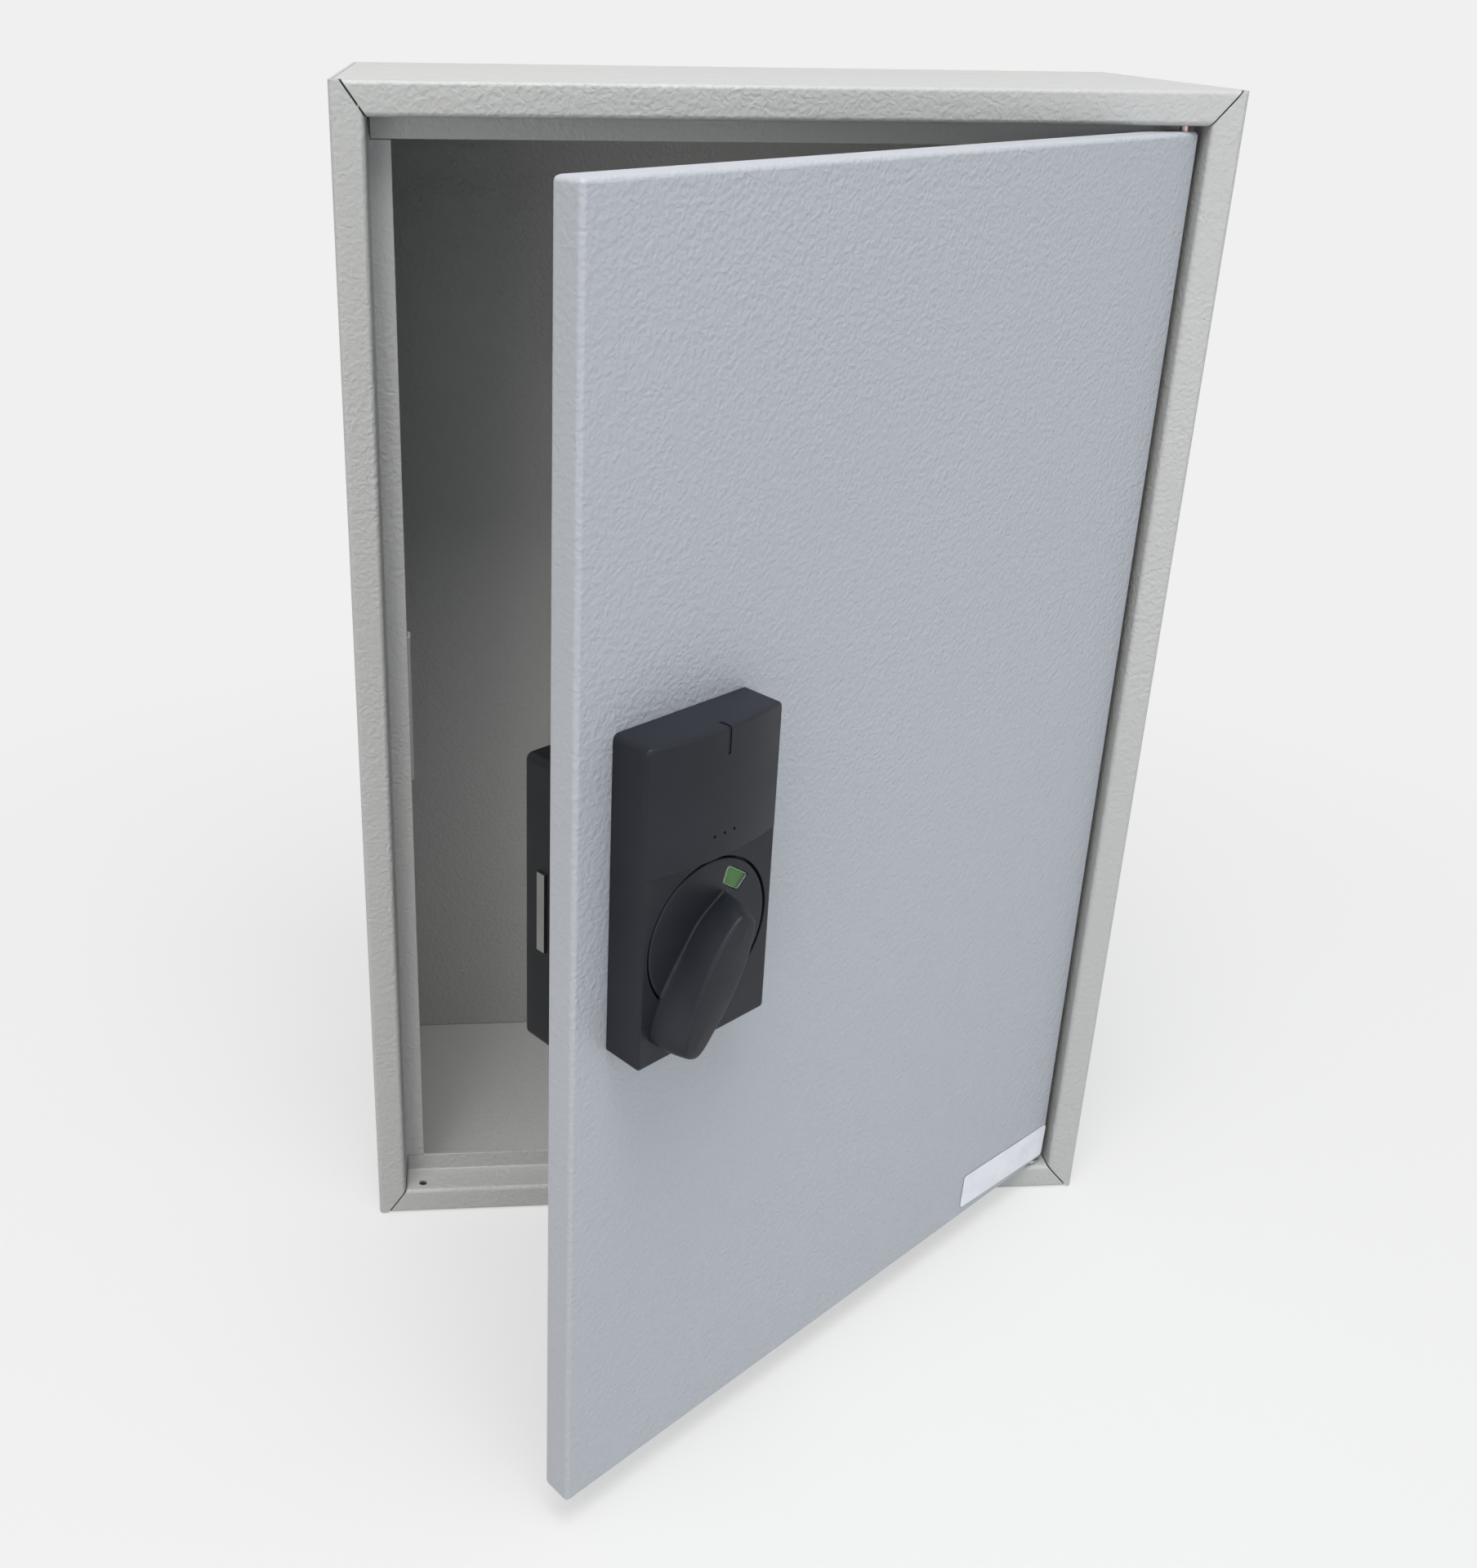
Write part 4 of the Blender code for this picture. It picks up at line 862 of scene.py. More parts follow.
    @classmethod
    def copy_of(cls, node: str, name: str, bevel: float) -> Piece:
        """Copy a CAD node, weld it, and smooth its bends and rounded edges.

        Args:
            node: The node.
            name: Name of the copy.
            bevel: Width of the rounding on its sharp edges.

        Returns:
            The copy, which stands for the node.
        """
        piece = bpy.data.objects.new(name, frame["nodes"][node].data.copy())
        piece.data.name = name
        bpy.context.scene.collection.objects.link(piece)
        cls.edit(piece, None, lambda: bpy.ops.mesh.remove_doubles(threshold=2e-6),
                 lambda: bpy.ops.mesh.dissolve_limited(angle_limit=math.radians(0.6)))
        cls.soften(piece, bevel)
        cls.shade(piece)
        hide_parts(node)
        return piece


@dataclass
class Assembly:
    """A group of pieces on one body."""

    palette: Palette
    body: Body = Body.CABINET
    made: list[Piece] = field(default_factory=list)

    def keep(self, piece: Piece, slot: Slot, material: bpy.types.Material | None = None,
             body: Body | None = None) -> None:
        """Dress a piece, let it ride, and note it.

        Args:
            piece: The piece.
            slot: The slot of its finish.
            material: Another version of the finish.
            body: The body it rides on, if not the assembly's own.
        """
        self.palette.dress(piece, slot, material)
        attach(piece, (body or self.body).value)
        self.made.append(piece)

    def keep_copy(self, node: str, made: str, bevel: float, slot: Slot,
                  material: bpy.types.Material | None = None, body: Body | None = None) -> None:
        """Keep a rounded copy of a CAD node.

        Args:
            node: The node.
            made: How it is made, the last word of the copy's name.
            bevel: Width of the rounding on its sharp edges.
            slot: The slot of its finish.
            material: Another version of the finish.
            body: The body it rides on, if not the assembly's own.
        """
        self.keep(Bench.copy_of(node, f"{node}_{made}", bevel), slot, material, body)

    def dress_node(self, node: str, slot: Slot) -> None:
        """Give a CAD node that keeps its shape its finish.

        Args:
            node: The node.
            slot: The slot of its finish.
        """
        self.made.append(self.palette.dress(frame["nodes"][node], slot))


@dataclass
class CabinetShell(Assembly):
    """The folded sides, the rails, the back and the strike."""

    sheet_edge: float = 0.00030
    strike_edge: float = 0.00025

    def build(self) -> None:
        """Make the shell."""
        for node in ("left_side_panel", "right_side_panel", "top_panel", "bottom_panel", "back_panel"):
            self.keep_copy(node, "coated", self.sheet_edge, Slot.COAT)
        self.keep_copy("strike_bracket", "coated", self.strike_edge, Slot.COAT)


@dataclass
class Hinges(Assembly):
    """Pivot pins, their bushes and the washer under the door."""

    pin_edge: float = 0.0004
    small_edge: float = 0.0002

    def build(self) -> None:
        """Make the hinge parts."""
        for end in ("top", "bottom"):
            self.keep_copy(f"hinge_pin_{end}", "turned", self.pin_edge, Slot.COPPER)
            self.keep_copy(f"door_bush_{end}", "moulded", self.small_edge, Slot.NYLON, body=Body.DOOR)
        self.keep_copy("hinge_washer", "stamped", self.small_edge, Slot.ZINC)


@dataclass
class KeyRack(Assembly):
    """Two slotted uprights and the hook bars."""

    bar_count: int = 5
    edge: float = 0.00020

    def build(self) -> None:
        """Make the rack."""
        for side in ("left", "right"):
            self.keep_copy(f"rack_upright_{side}", "plated", self.edge, Slot.ZINC)
        for number in range(1, self.bar_count + 1):
            self.keep_copy(f"hook_bar_{number}", "plated", self.edge, Slot.ZINC)


@dataclass
class DoorLeaf(Assembly):
    """The folded door, its stiffener and its blank label."""

    body: Body = Body.DOOR
    sheet_edge: float = 0.00035

    def build(self) -> None:
        """Make the door."""
        for node in ("door_pan", "door_stiffener"):
            # The door pan and stiffener take the bluer copy of the powder coat, a painted sky reflection.
            self.keep_copy(node, "coated", self.sheet_edge, Slot.COAT, self.palette.door_coat_painted_sky_tint)
        self.dress_node("id_label", Slot.LABEL)


@dataclass
class OutsideLock(Assembly):
    """The lock's housing on the outside of the door."""

    body: Body = Body.DOOR
    half: float = 0.0353
    above: float = 0.0886
    below: float = 0.0492
    depth: float = 0.0185
    seat: float = 0.0003
    ledge: float = 0.0349
    rise: float = 0.0044
    crown_floor: float = 0.0165
    wall: float = 0.0020
    top_corner: float = 0.0028
    foot_corner: float = 0.0018
    edge: float = 0.0013
    ledge_edge: float = 0.0003
    guide_edge: float = 0.0001
    weld: float = 1e-6
    strips: int = 90
    steps: int = 5
    recess_radius: float = 0.0322
    recess_depth: float = 0.0034
    light_offset: float = 0.0023
    light_half: float = 0.0008
    light_drop: float = 0.0111
    light_inset: float = 0.0056
    sound_offset: float = 0.0021
    sound_pitch: float = 0.0053
    sound_rise: float = 0.0449
    sound_radius: float = 0.00065
    sound_depth: float = 0.0025
    spindle_hole_radius: float = 0.0050
    recess_sides: int = 160
    spindle_hole_sides: int = 32
    sound_sides: int = 20
    pocket_low: float = -0.0385
    pocket_high: float = 0.0325
    pocket_top: float = 0.0405

    def _crown(self, across: float) -> float:
        """Height of the crowned face.

        Args:
            across: Place across the housing.

        Returns:
            Height over the door.
        """
        radius = (self.half ** 2 + self.rise ** 2) / (2 * self.rise)
        return self.depth + self.rise - radius + math.sqrt(max(radius ** 2 - across ** 2, 0.0))

    @staticmethod
    def _block(name: str, low: Sequence[float], high: Sequence[float]) -> Piece:
        """A box between two corners, in the lock's directions.

        Args:
            name: Name of the piece.
            low: Its lowest corner.
            high: Its highest corner.

        Returns:
            The box.
        """
        middle = [(a + b) / 2 for a, b in zip(low, high)]
        size = [b - a for a, b in zip(low, high)]
        piece = Bench.start(bpy.ops.mesh.primitive_cube_add, name, size=1.0, location=middle, scale=size)
        return Bench.place(piece, Matrix.Identity(4))

    def _from_edge(self, across: float, up: float) -> float:
        """Distance of a place on the front from the housing's outline.

        Args:
            across: Place across the housing.
            up: Place along it.

        Returns:
            The distance, nothing on the outline.
        """
        upper = up > 0
        corner = self.top_corner if upper else self.foot_corner
        end = self.above if upper else self.below
        beside, beyond = abs(across) - (self.half - corner), abs(up) - (end - corner)
        if beside > 0 and beyond > 0:
            return max(corner - math.hypot(beside, beyond), 0.0)
        return max(min(self.half - abs(across), end - abs(up)), 0.0)

    def _front(self, across: float, up: float, crowned: bool) -> float:
        """Height of the front, with its rounded edge.

        Args:
            across: Place across the housing.
            up: Place along it.
            crowned: On the crowned part, or on the flat one.

        Returns:
            Height over the door.
        """
        inner = max(self.edge - self._from_edge(across, up), 0.0)
        level = self._crown(across) if crowned else self.depth
        return level - self.edge + math.sqrt(max(self.edge ** 2 - inner ** 2, 0.0))

    def _turns(self) -> list[float]:
        """Share of a rounding's radius at each of its steps."""
        return [1 - math.cos(step / self.steps * math.pi / 2) for step in range(self.steps + 1)]

    def _rows(self) -> list[tuple[float, bool]]:
        """Places along the housing where the front bends.

        Returns:
            Each place, and whether it is on the crowned part.
        """
        low = sorted({radius * turn for radius in (self.foot_corner, self.edge) for turn in self._turns()})
        high = {radius * turn for radius in (self.top_corner, self.edge) for turn in self._turns()}
        rows = [(place - self.below, False) for place in low] + [(self.ledge, False), (self.ledge, True)]
        rows.append((self.ledge + self.ledge_edge, True))
        return rows + [(self.above - place, True) for place in sorted(high, reverse=True)]

    def _shell(self) -> Piece:
        """Bend a grid to the housing's front and close it behind.

        Returns:
            The solid, in the lock's directions.
        """
        rows = self._rows()
        border = [self.edge * turn for turn in self._turns()]
        columns = self.strips + 2 * self.steps
        piece = Bench.start(bpy.ops.mesh.primitive_grid_add, "lock_housing_moulded", x_subdivisions=columns,
                            y_subdivisions=len(rows) - 1, size=self.half)
        bpy.ops.object.mode_set(mode="EDIT")
        mesh = bmesh.from_edit_mesh(piece.data)
        mesh.verts.ensure_lookup_table()
        for index, (up, crowned) in enumerate(rows):
            corner, end = (self.top_corner, self.above) if crowned else (self.foot_corner, self.below)
            beyond = max(abs(up) - (end - corner), 0.0) if up * (1 if crowned else -1) > 0 else 0.0
            half = self.half - corner + math.sqrt(max(corner ** 2 - beyond ** 2, 0.0))
            inner = half - self.edge
            spread = [-inner + 2 * inner * step / self.strips for step in range(1, self.strips)]
            places = [inset - half for inset in border] + spread
            places += [half - inset for inset in reversed(border)]
            for step, across in enumerate(places):
                height = self._front(across, up, crowned)
                if crowned and up == self.ledge:
                    height = max(height - self.ledge_edge, self._front(across, up, False))
                mesh.verts[index * (columns + 1) + step].co = (across, up, height)
        for edge in mesh.edges:
            edge.select_set(edge.is_boundary)
        bmesh.update_edit_mesh(piece.data)
        bpy.ops.mesh.extrude_region_move()
        mesh = bmesh.from_edit_mesh(piece.data)
        for vertex in mesh.verts:
            if vertex.select:
                vertex.co.z = self.seat
        bmesh.update_edit_mesh(piece.data)
        bpy.ops.mesh.edge_face_add()
        bpy.ops.mesh.select_all(action="SELECT")
        bpy.ops.mesh.remove_doubles(threshold=self.weld)
        bpy.ops.mesh.normals_make_consistent(inside=False)
        bpy.ops.object.mode_set(mode="OBJECT")
        return piece

    @staticmethod
    def _round_hole(name: str, radius: float, low: float, high: float, place: tuple[float, float],
                    sides: int) -> Piece:
        """A round tool that stands out from the door.

        Args:
            name: Name of the tool.
            radius: Its radius.
            low: Its lower level.
            high: Its upper level.
            place: Its centre, across and up.
            sides: Number of sides.

        Returns:
            The tool.
        """
        tool = Bench.start(bpy.ops.mesh.primitive_cylinder_add, name, vertices=sides, radius=radius,
                           depth=high - low, location=(*place, (low + high) / 2))
        return Bench.place(tool, Matrix.Identity(4))

    def _housing(self) -> Piece:
        """Mould the housing.

        Returns:
            The housing, in place.
        """
        top = self.depth + 2 * self.rise
        floor = self.depth - self.recess_depth
        side = self.half - self.wall
        body = self._shell()
        tools = [self._round_hole("recess", self.recess_radius, floor, top, (0.0, 0.0), self.recess_sides),
                 self._block("light_slot", (self.light_offset - self.light_half, self.above - self.light_drop,
                                            self.depth + self.rise - self.light_inset),
                             (self.light_offset + self.light_half, self.above + self.wall, top)),
                 self._block("lower_pocket", (-side, self.pocket_low, -self.wall),
                             (side, self.pocket_high, floor - self.wall)),
                 self._block("upper_pocket", (-side, self.pocket_top, -self.wall),
                             (side, self.above - self.wall, self.crown_floor)),
                 self._round_hole("spindle_hole", self.spindle_hole_radius, -self.wall, self.depth,
                                  (0.0, 0.0), self.spindle_hole_sides)]
        for place in (-1, 0, 1):
            across = self.sound_offset + place * self.sound_pitch
            low = self._crown(across) - self.sound_depth
            tools.append(self._round_hole(f"sound_hole_{place + 2}", self.sound_radius, low, top,
                                          (across, self.sound_rise), self.sound_sides))
        for tool in tools:
            Bench.cut(body, tool)
        Bench.place(body, LOCK.matrix())
        Bench.take(body)
        bpy.ops.object.shade_flat()
        return body

    def build(self) -> None:
        """Make the housing and its small parts."""
        housing = self._housing()
        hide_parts("lock_housing")
        self.keep(housing, Slot.PLASTIC)
        self.keep_copy("status_light", "guide", self.guide_edge, Slot.PLASTIC, self.palette.guide)
        self.dress_node("reader_board", Slot.BOARD)
        self.dress_node("indicator_plate", Slot.GREEN)


@dataclass
class TurnKnob(Assembly):
    """The disc with its tall fin, and the window over the state disc."""

    body: Body = Body.THUMBTURN
    turn: float = 29.5
    face: float = 0.0185
    thickness: float = 0.0022
    radius: float = 0.0312
    rim: float = 0.0006
    fin_height: float = 0.0161
    fin_skirt: float = 0.0004
    fin_swell: float = 0.0006
    crest_round: float = 0.0015
    crest_dome: float = 0.0005
    crest_inset: float = 0.0085
    side_rings: int = 8
    crest_rings: int = 5
    sides: int = 160
    weld: float = 1e-7
    voxel: float = 0.00045
    window_radius: float = 0.0240
    window_angle: float = 5.7
    window_width: float = 0.0122
    window_height: float = 0.0076
    window_corner: float = 0.0015
    window_border: float = 0.0014
    window_gap: float = 0.0002
    lens_gap: float = 0.0001
    lens_depth: float = 0.0018
    lens_drop: float = 0.0002
    lens_edge: float = 0.0002
    foot: tuple[tuple[float, float], ...] = (
        (-0.0178, 0.0), (-0.0168, 0.0013), (-0.0134, 0.0034), (-0.0091, 0.0058), (-0.0048, 0.0078),
        (0.0000, 0.0090), (0.0098, 0.0102), (0.0200, 0.0113), (0.0290, 0.0116), (0.0380, 0.0108),
        (0.0450, 0.0088), (0.0472, 0.0060), (0.0476, 0.0))
    crest: tuple[tuple[float, float], ...] = (
        (-0.0140, 0.0), (-0.0136, 0.0026), (-0.0120, 0.0049), (-0.0076, 0.0071), (0.0000, 0.0090),
        (0.0100, 0.0100), (0.0200, 0.0098), (0.0280, 0.0088), (0.0350, 0.0077), (0.0410, 0.0065),
        (0.0448, 0.0048), (0.0461, 0.0026), (0.0464, 0.0))

    def _side(self, table: Sequence[tuple[float, float]], steps: int) -> list[Vector]:
        """Smooth one half of an outline.

        Args:
            table: Places along the fin and half widths there.
            steps: Number of points wanted.

        Returns:
            Points from the root to the tip, evenly spread by the table's rows.
        """
        points = [Vector(row) for row in table]
        ends = [Vector((points[0].x, -points[1].y)), *points, Vector((points[-1].x, -points[-2].y))]
        made = []
        for step in range(steps + 1):
            place = step / steps * (len(points) - 1)
            index = min(int(place), len(points) - 2)
            share = place - index
            before, first, second, after = ends[index:index + 4]
            made.append(0.5 * (2 * first + (second - before) * share
                               + (2 * before - 5 * first + 4 * second - after) * share ** 2
                               + (3 * first - before - 3 * second + after) * share ** 3))
        return made

    def _ring(self, share: float, inset: float, level: float, steps: int = 36) -> list[Vector]:
        """Outline of the fin at one height.

        Args:
            share: How far it has gone from the foot's outline to the crest's.
            inset: How far it is drawn in.
            level: Height over the door.
            steps: Points along each side.

        Returns:
            Points all round.
        """
        low, high = self._side(self.foot, steps), self._side(self.crest, steps)
        side = [a.lerp(b, share) for a, b in zip(low, high)]
        middle = (side[0].x + side[-1].x) / 2
        half = (side[-1].x - side[0].x) / 2
        shrink = (half - inset) / half
        points = [Vector((middle + (p.x - middle) * shrink, max(p.y - inset, 0.0))) for p in side]
        left = [Vector((-p.y, -p.x, level)) for p in points]
        right = [Vector((p.y, -p.x, level)) for p in points[1:-1]]
        return left + right[::-1]

    def _fin(self) -> Piece:
        """Raise the fin ring by ring from a circle.

        Returns:
            The fin, closed.
        """
        base = self.face - self.thickness / 2
        top = self.face + self.fin_height
        rings = [(0.0, 0.0, base), (0.0, 0.0, self.face + self.fin_skirt)]
        for step in range(1, self.side_rings + 1):
            share = step / self.side_rings
            level = self.face + share * (self.fin_height - self.crest_round)
            rings.append((share ** 0.9, -self.fin_swell * math.sin(math.pi * share), level))
        for step in range(1, self.crest_rings + 1):
            angle = step / self.crest_rings * math.pi / 2
            inset, drop = self.crest_round * (1 - math.cos(angle)), self.crest_round * (1 - math.sin(angle))
            rings.append((1.0, inset, top - drop))
        for step in range(1, self.crest_rings):
            share = step / self.crest_rings
            level = top + self.crest_dome * (1 - (1 - share) ** 2)
            rings.append((1.0, self.crest_round + share * self.crest_inset, level))
        outlines = [self._ring(*ring) for ring in rings]
        count = len(outlines[0])
        piece = Bench.start(bpy.ops.mesh.primitive_circle_add, "fin", vertices=count, radius=self.radius)
        bpy.ops.object.mode_set(mode="EDIT")
        for index, outline in enumerate(outlines):
            if index:
                bpy.ops.mesh.extrude_region_move()
            mesh = bmesh.from_edit_mesh(piece.data)
            loop = self.in_order([vertex for vertex in mesh.verts if vertex.select])
            for vertex, point in zip(loop, outline):
                vertex.co = point
            bmesh.update_edit_mesh(piece.data)
        bpy.ops.mesh.edge_face_add()
        bpy.ops.mesh.select_all(action="DESELECT")
        mesh = bmesh.from_edit_mesh(piece.data)
        for edge in mesh.edges:
            edge.select_set(edge.is_boundary)
        bmesh.update_edit_mesh(piece.data)
        bpy.ops.mesh.edge_face_add()
        bpy.ops.mesh.select_all(action="SELECT")
        bpy.ops.mesh.remove_doubles(threshold=self.weld)
        bpy.ops.mesh.normals_make_consistent(inside=False)
        bpy.ops.object.mode_set(mode="OBJECT")
        return piece

    @staticmethod
    def in_order(vertices: list[bmesh.types.BMVert]) -> list[bmesh.types.BMVert]:
        """Put a ring's vertices in order round it.

        Args:
            vertices: The selected vertices of one closed ring.

        Returns:
            The same vertices, from the lowest index on and round one way.
        """
        chosen = set(vertices)
        start = min(vertices, key=lambda vertex: vertex.index if vertex.index >= 0 else 0)
        loop = [start]
        while len(loop) < len(vertices):
            near = [edge.other_vert(loop[-1]) for edge in loop[-1].link_edges]
            nexts = [vertex for vertex in near if vertex in chosen and vertex not in (start, *loop[-2:])]
            loop.append(min(nexts, key=lambda vertex: vertex.index) if len(loop) == 1 else nexts[0])
        return loop

    def _window_outline(self, gap: float, steps: int = 6) -> list[Vector]:
        """Outline of the curved window.

        Args:
            gap: How much larger it is all round.
            steps: Points on each corner.

        Returns:
            Points round the window, in the lock's directions.
        """
        half = Vector((self.window_width / 2 + gap, self.window_height / 2 + gap))
        corner = self.window_corner + gap
        points = []
        for index, (side, end) in enumerate(((1, 1), (-1, 1), (-1, -1), (1, -1))):
            for step in range(steps + 1):
                angle = math.pi / 2 * (index + step / steps)
                along = side * (half.x - corner) + corner * math.cos(angle)
                outward = end * (half.y - corner) + corner * math.sin(angle)
                turn = math.radians(self.window_angle) + along / self.window_radius
                reach = self.window_radius + outward
                points.append(Vector((reach * math.sin(turn), reach * math.cos(turn), 0.0)))
        return points

    def _window_block(self, name: str, gap: float, low: float, high: float) -> Piece:
        """A solid of the window's outline.

        Args:
            name: Name of the piece.
            gap: How much larger it is than the window.
            low: Its lower level.
            high: Its upper level.

        Returns:
            The solid.
        """
        outline = self._window_outline(gap)
        piece = Bench.start(bpy.ops.mesh.primitive_circle_add, name, vertices=len(outline), fill_type="NGON")
        bpy.ops.object.mode_set(mode="EDIT")
        mesh = bmesh.from_edit_mesh(piece.data)
        for vertex, point in zip(self.in_order(list(mesh.verts)), outline):
            vertex.co = point + Vector((0.0, 0.0, low))
        bmesh.update_edit_mesh(piece.data)
        bpy.ops.mesh.select_all(action="SELECT")
        bpy.ops.mesh.extrude_region_move(TRANSFORM_OT_translate={"value": (0.0, 0.0, high - low)})
        bpy.ops.mesh.select_all(action="SELECT")
        bpy.ops.mesh.normals_make_consistent(inside=False)
        bpy.ops.object.mode_set(mode="OBJECT")
        return piece

    def build(self) -> None:
        """Make the knob and its window."""
        disc = Bench.start(bpy.ops.mesh.primitive_cylinder_add, "turn_knob_moulded", vertices=self.sides,
                           radius=self.radius, depth=self.thickness,
                           location=(0.0, 0.0, self.face - self.thickness / 2))
        Bench.place(disc, Matrix.Identity(4))
        Bench.soften(disc, self.rim, 3)
        Bench.cut(disc, self._window_block("window_tool", self.window_gap, self.face - 2 * self.thickness,
                                           self.face + self.thickness))
        Bench.take(disc, self._fin())
        bpy.ops.object.join()
        disc = bpy.context.view_layer.objects.active
        Bench.modify(disc, "REMESH", mode="VOXEL", voxel_size=self.voxel)
        Bench.modify(disc, "SMOOTH", factor=0.5, iterations=3)
        Bench.place(disc, LOCK.matrix(self.turn))
        Bench.shade(disc, 60.0)
        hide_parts("thumbturn")
        self.keep(disc, Slot.PLASTIC)
        self._lens()
        self.dress_node("spindle", Slot.STEEL)
        self.dress_node("drive_cam", Slot.ZINC)

    def _lens(self) -> None:
        """Make the lens, clear in the middle and frosted at its border."""
        high = self.face - self.lens_drop
        lens = self._window_block("indicator_lens", -self.lens_gap, self.face - self.lens_depth, high)
        Bench.edit(lens, lambda mesh: [face for face in mesh.faces if face.normal.z > 0.9],
                   lambda: bpy.ops.mesh.inset(thickness=self.window_border, depth=self.lens_edge))
        Bench.soften(lens, self.lens_edge, 2, 30.0)
        Bench.place(lens, LOCK.matrix(self.turn))
        Bench.shade(lens, 30.0)
        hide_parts("indicator_window")
        self.keep(lens, Slot.CLEAR)
        lens.data.materials.append(self.palette.rim)
        angle = math.radians(self.window_angle)
        middle = LOCK.matrix(self.turn) @ Vector((self.window_radius * math.sin(angle),
                                                  self.window_radius * math.cos(angle), self.face))
        clear = self.window_height / 2 - self.window_border
        for face in lens.data.polygons:
            offset = face.center - middle
            flat = offset - LOCK.out * offset.dot(LOCK.out)
            if abs(face.normal.dot(LOCK.out)) < 0.97 and flat.length > clear:
                face.material_index = 1


@dataclass
class InsideLock(Assembly):
    """The lock's case behind the door, its cells, screws and bolt."""

    body: Body = Body.DOOR
    edge: float = 0.0003
    small_edge: float = 0.0002
    cells: int = 4

    def build(self) -> None:
        """Make the inner parts."""
        # The case and battery cover take the darker copy of the black plastic, painted shade.
        self.keep_copy("lock_case", "moulded", self.edge, Slot.PLASTIC, self.palette.case)
        self.keep_copy("battery_cover", "moulded", self.edge, Slot.PLASTIC, self.palette.case)
        # The channel takes the same bluer copy of the powder coat, a painted sky reflection.
        self.keep_copy("lock_channel", "coated", self.edge, Slot.COAT, self.palette.door_coat_painted_sky_tint)
        self.keep_copy("lock_base_plate", "plated", self.small_edge, Slot.ZINC)
        for number in range(1, self.cells + 1):
            self.dress_node(f"battery_{number}", Slot.CELL)
        for end in ("upper", "lower"):
            for kind in ("lock_screw", "case_screw"):
                self.keep_copy(f"{kind}_{end}", "plated", self.small_edge, Slot.ZINC)
        self.keep_copy("bolt", "plated", self.edge, Slot.STEEL, body=Body.BOLT)


# Studio and camera


@dataclass(frozen=True)
class SoftLamp:
    """A square soft lamp that looks at the cabinet."""

    name: str
    place: tuple[float, float, float]
    size: float
    power: float
    colour: Colour = (1.0, 1.0, 1.0)
    aim: tuple[float, float, float] = (0.0, -0.2, 0.0)

    def build(self) -> None:
        """Hang the lamp."""
        data = bpy.data.lights.new(self.name, "AREA")
        data.size, data.energy, data.color = self.size, self.power, self.colour
        lamp = bpy.data.objects.new(self.name, data)
        lamp.location = self.place
        lamp.rotation_euler = (Vector(self.aim) - Vector(self.place)).to_track_quat("-Z", "Y").to_euler()
        bpy.context.scene.collection.objects.link(lamp)


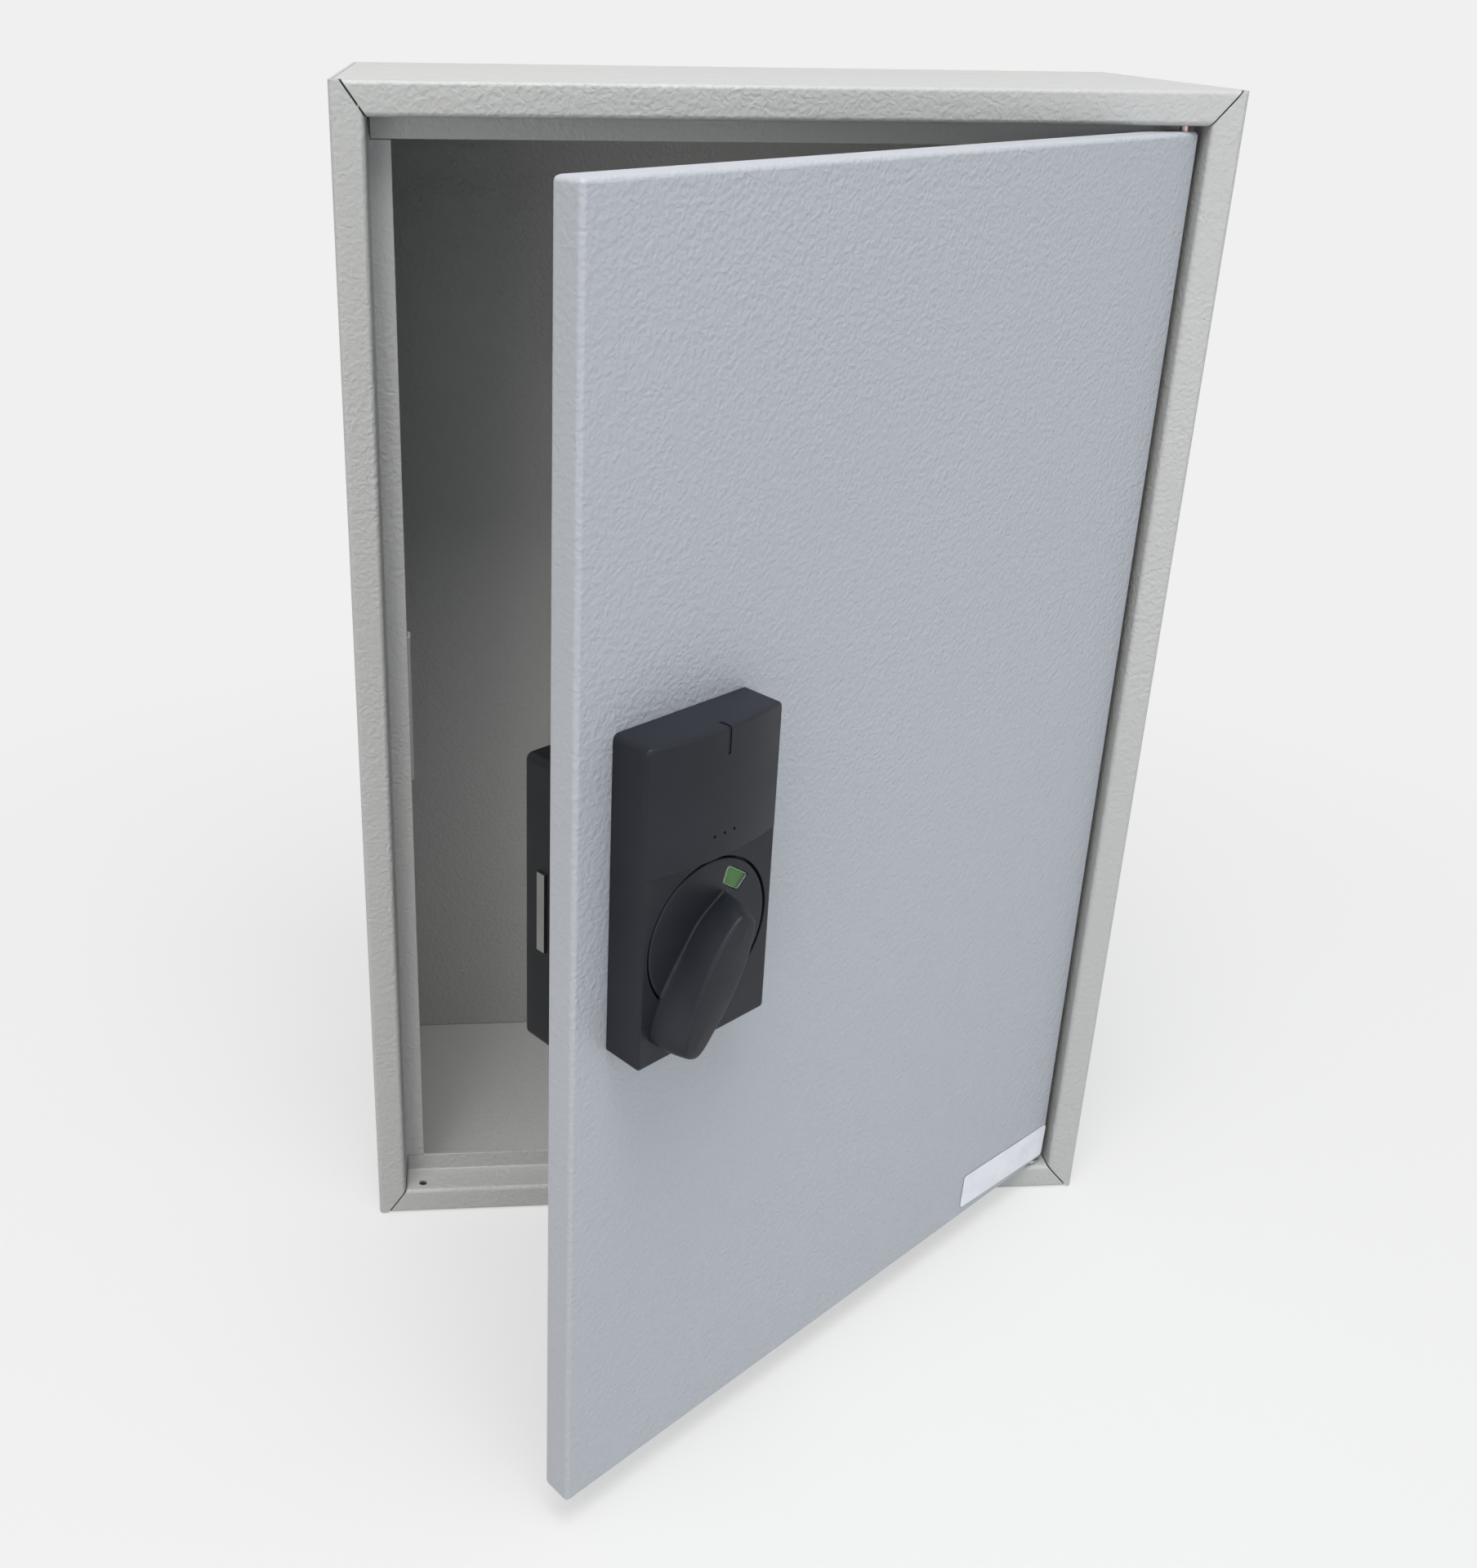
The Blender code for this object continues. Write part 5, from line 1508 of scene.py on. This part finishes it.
@dataclass(frozen=True)
class Studio:
    """A plain pale floor, an even sky and soft lamps."""

    pale: float = 0.871
    floor_tone: float = 0.77
    sky_high: float = 0.58
    sky_low: float = 0.16
    sky_from: float = -0.5
    sky_to: float = 0.9
    bounce: float = 0.56
    floor_size: float = 14.0
    floor_level: float = -0.3003
    shadow_share: float = 0.42
    near: float = 0.30
    far: float = 0.90
    lamps: tuple[SoftLamp, ...] = (
        SoftLamp("key", (-1.1, -1.7, 1.9), 1.3, 17.0, (1.0, 0.965, 0.90)),
        SoftLamp("fill", (1.9, -1.7, 0.8), 1.4, 3.2, (0.84, 0.93, 1.0)),
        SoftLamp("low_right", (0.8, -1.9, -0.1), 1.2, 9.2, (0.86, 0.94, 1.0), (0.0, -0.2, -0.4)),
        SoftLamp("low_left", (-1.1, -1.7, -0.1), 0.8, 4.2, (1.0, 0.97, 0.92), (-0.15, -0.2, -0.35)),
        SoftLamp("overhead", (0.0, -0.9, 2.1), 1.1, 33.0),
    )

    def build(self) -> None:
        """Set up the floor, the sky and the lamps."""
        floor = Bench.start(bpy.ops.mesh.primitive_grid_add, "floor", x_subdivisions=4, y_subdivisions=4,
                            size=self.floor_size, location=(0.0, 0.0, self.floor_level))
        floor.data.materials.append(self._floor_paint())
        self._sky()
        for lamp in self.lamps:
            lamp.build()
        bpy.context.scene.view_settings.view_transform = "Standard"

    def _floor_paint(self) -> bpy.types.Material:
        """Make the floor's paint, an even pale grey that keeps a soft shadow near the cabinet.

        Returns:
            The paint.
        """
        board = Board("floor_paint")
        place = board.moved((1.0, 1.0, 0.0), (0.0, 0.2, 0.0))
        reach = board.add("ShaderNodeVectorMath", {0: place}, operation="LENGTH").outputs["Value"]
        share = board.span(reach, self.near, self.far, self.shadow_share, 0.0)
        seen = board.looked_at()
        even = board.math("MULTIPLY", board.math("SUBTRACT", 1.0, share), seen)
        tone = board.mix(seen, (self.bounce,) * 3, (self.floor_tone,) * 3)
        paint = board.add("ShaderNodeBsdfDiffuse", {"Color": tone}).outputs[0]
        glow = board.add("ShaderNodeEmission", {"Color": (self.pale, self.pale, self.pale, 1.0)}).outputs[0]
        mixed = board.add("ShaderNodeMixShader", {0: even, 1: paint, 2: glow}).outputs[0]
        board.add("ShaderNodeOutputMaterial", {"Surface": mixed})
        return board.owner

    def _sky(self) -> None:
        """Make the even sky, which the camera sees as the floor's own grey."""
        board = Board("studio", world=True)
        compass = board.add("ShaderNodeTexCoord").outputs["Generated"]
        rise = board.add("ShaderNodeSeparateXYZ", {0: compass}).outputs["Z"]
        strength = board.span(rise, self.sky_from, self.sky_to, self.sky_low, self.sky_high)
        light = board.add("ShaderNodeBackground", {"Color": (0.96, 0.98, 1.0, 1.0), "Strength": strength})
        plain = board.add("ShaderNodeBackground", {"Color": (self.pale, self.pale, self.pale, 1.0)})
        mixed = board.add("ShaderNodeMixShader",
                          {0: board.looked_at(), 1: light.outputs[0], 2: plain.outputs[0]})
        board.add("ShaderNodeOutputWorld", {"Surface": mixed.outputs[0]})
        bpy.context.scene.world = board.owner


@dataclass(frozen=True)
class PictureCamera:
    """The camera, where the picture was taken from."""

    place: tuple[float, float, float] = (-0.1434, -0.9103, 0.3344)
    right: tuple[float, float, float] = (0.99703, -0.07545, 0.01554)
    up: tuple[float, float, float] = (0.01566, 0.39603, 0.91810)
    forward: tuple[float, float, float] = (0.07542, 0.91513, -0.39603)
    lens: float = 37.20
    sensor: float = 36.0
    shift: tuple[float, float] = (0.0916, -0.0582)

    def build(self) -> None:
        """Set the camera up and make it the scene's own."""
        data = bpy.data.cameras.new("camera")
        data.sensor_fit = "AUTO"
        data.sensor_width, data.lens = self.sensor, self.lens
        data.shift_x, data.shift_y = self.shift
        camera = bpy.data.objects.new("camera", data)
        rows = [[self.right[row], self.up[row], -self.forward[row], self.place[row]] for row in range(3)]
        camera.matrix_world = Matrix([*rows, [0.0, 0.0, 0.0, 1.0]])
        bpy.context.scene.collection.objects.link(camera)
        bpy.context.scene.camera = camera


def main() -> None:
    """Build the cabinet's pieces, the studio and the camera, and log each piece's face count."""
    logging.basicConfig(level=logging.INFO, format="%(name)s: %(message)s")
    palette = Palette()
    PictureCamera().build()
    Studio().build()
    for kind in (CabinetShell, Hinges, KeyRack, DoorLeaf, OutsideLock, TurnKnob, InsideLock):
        assembly = kind(palette)
        assembly.build()
        for piece in assembly.made:
            LOG.info("%s: %s, %d faces", kind.__name__, piece.name, len(piece.data.polygons))
    Bench.rest()


if __name__ == "__main__":
    main()
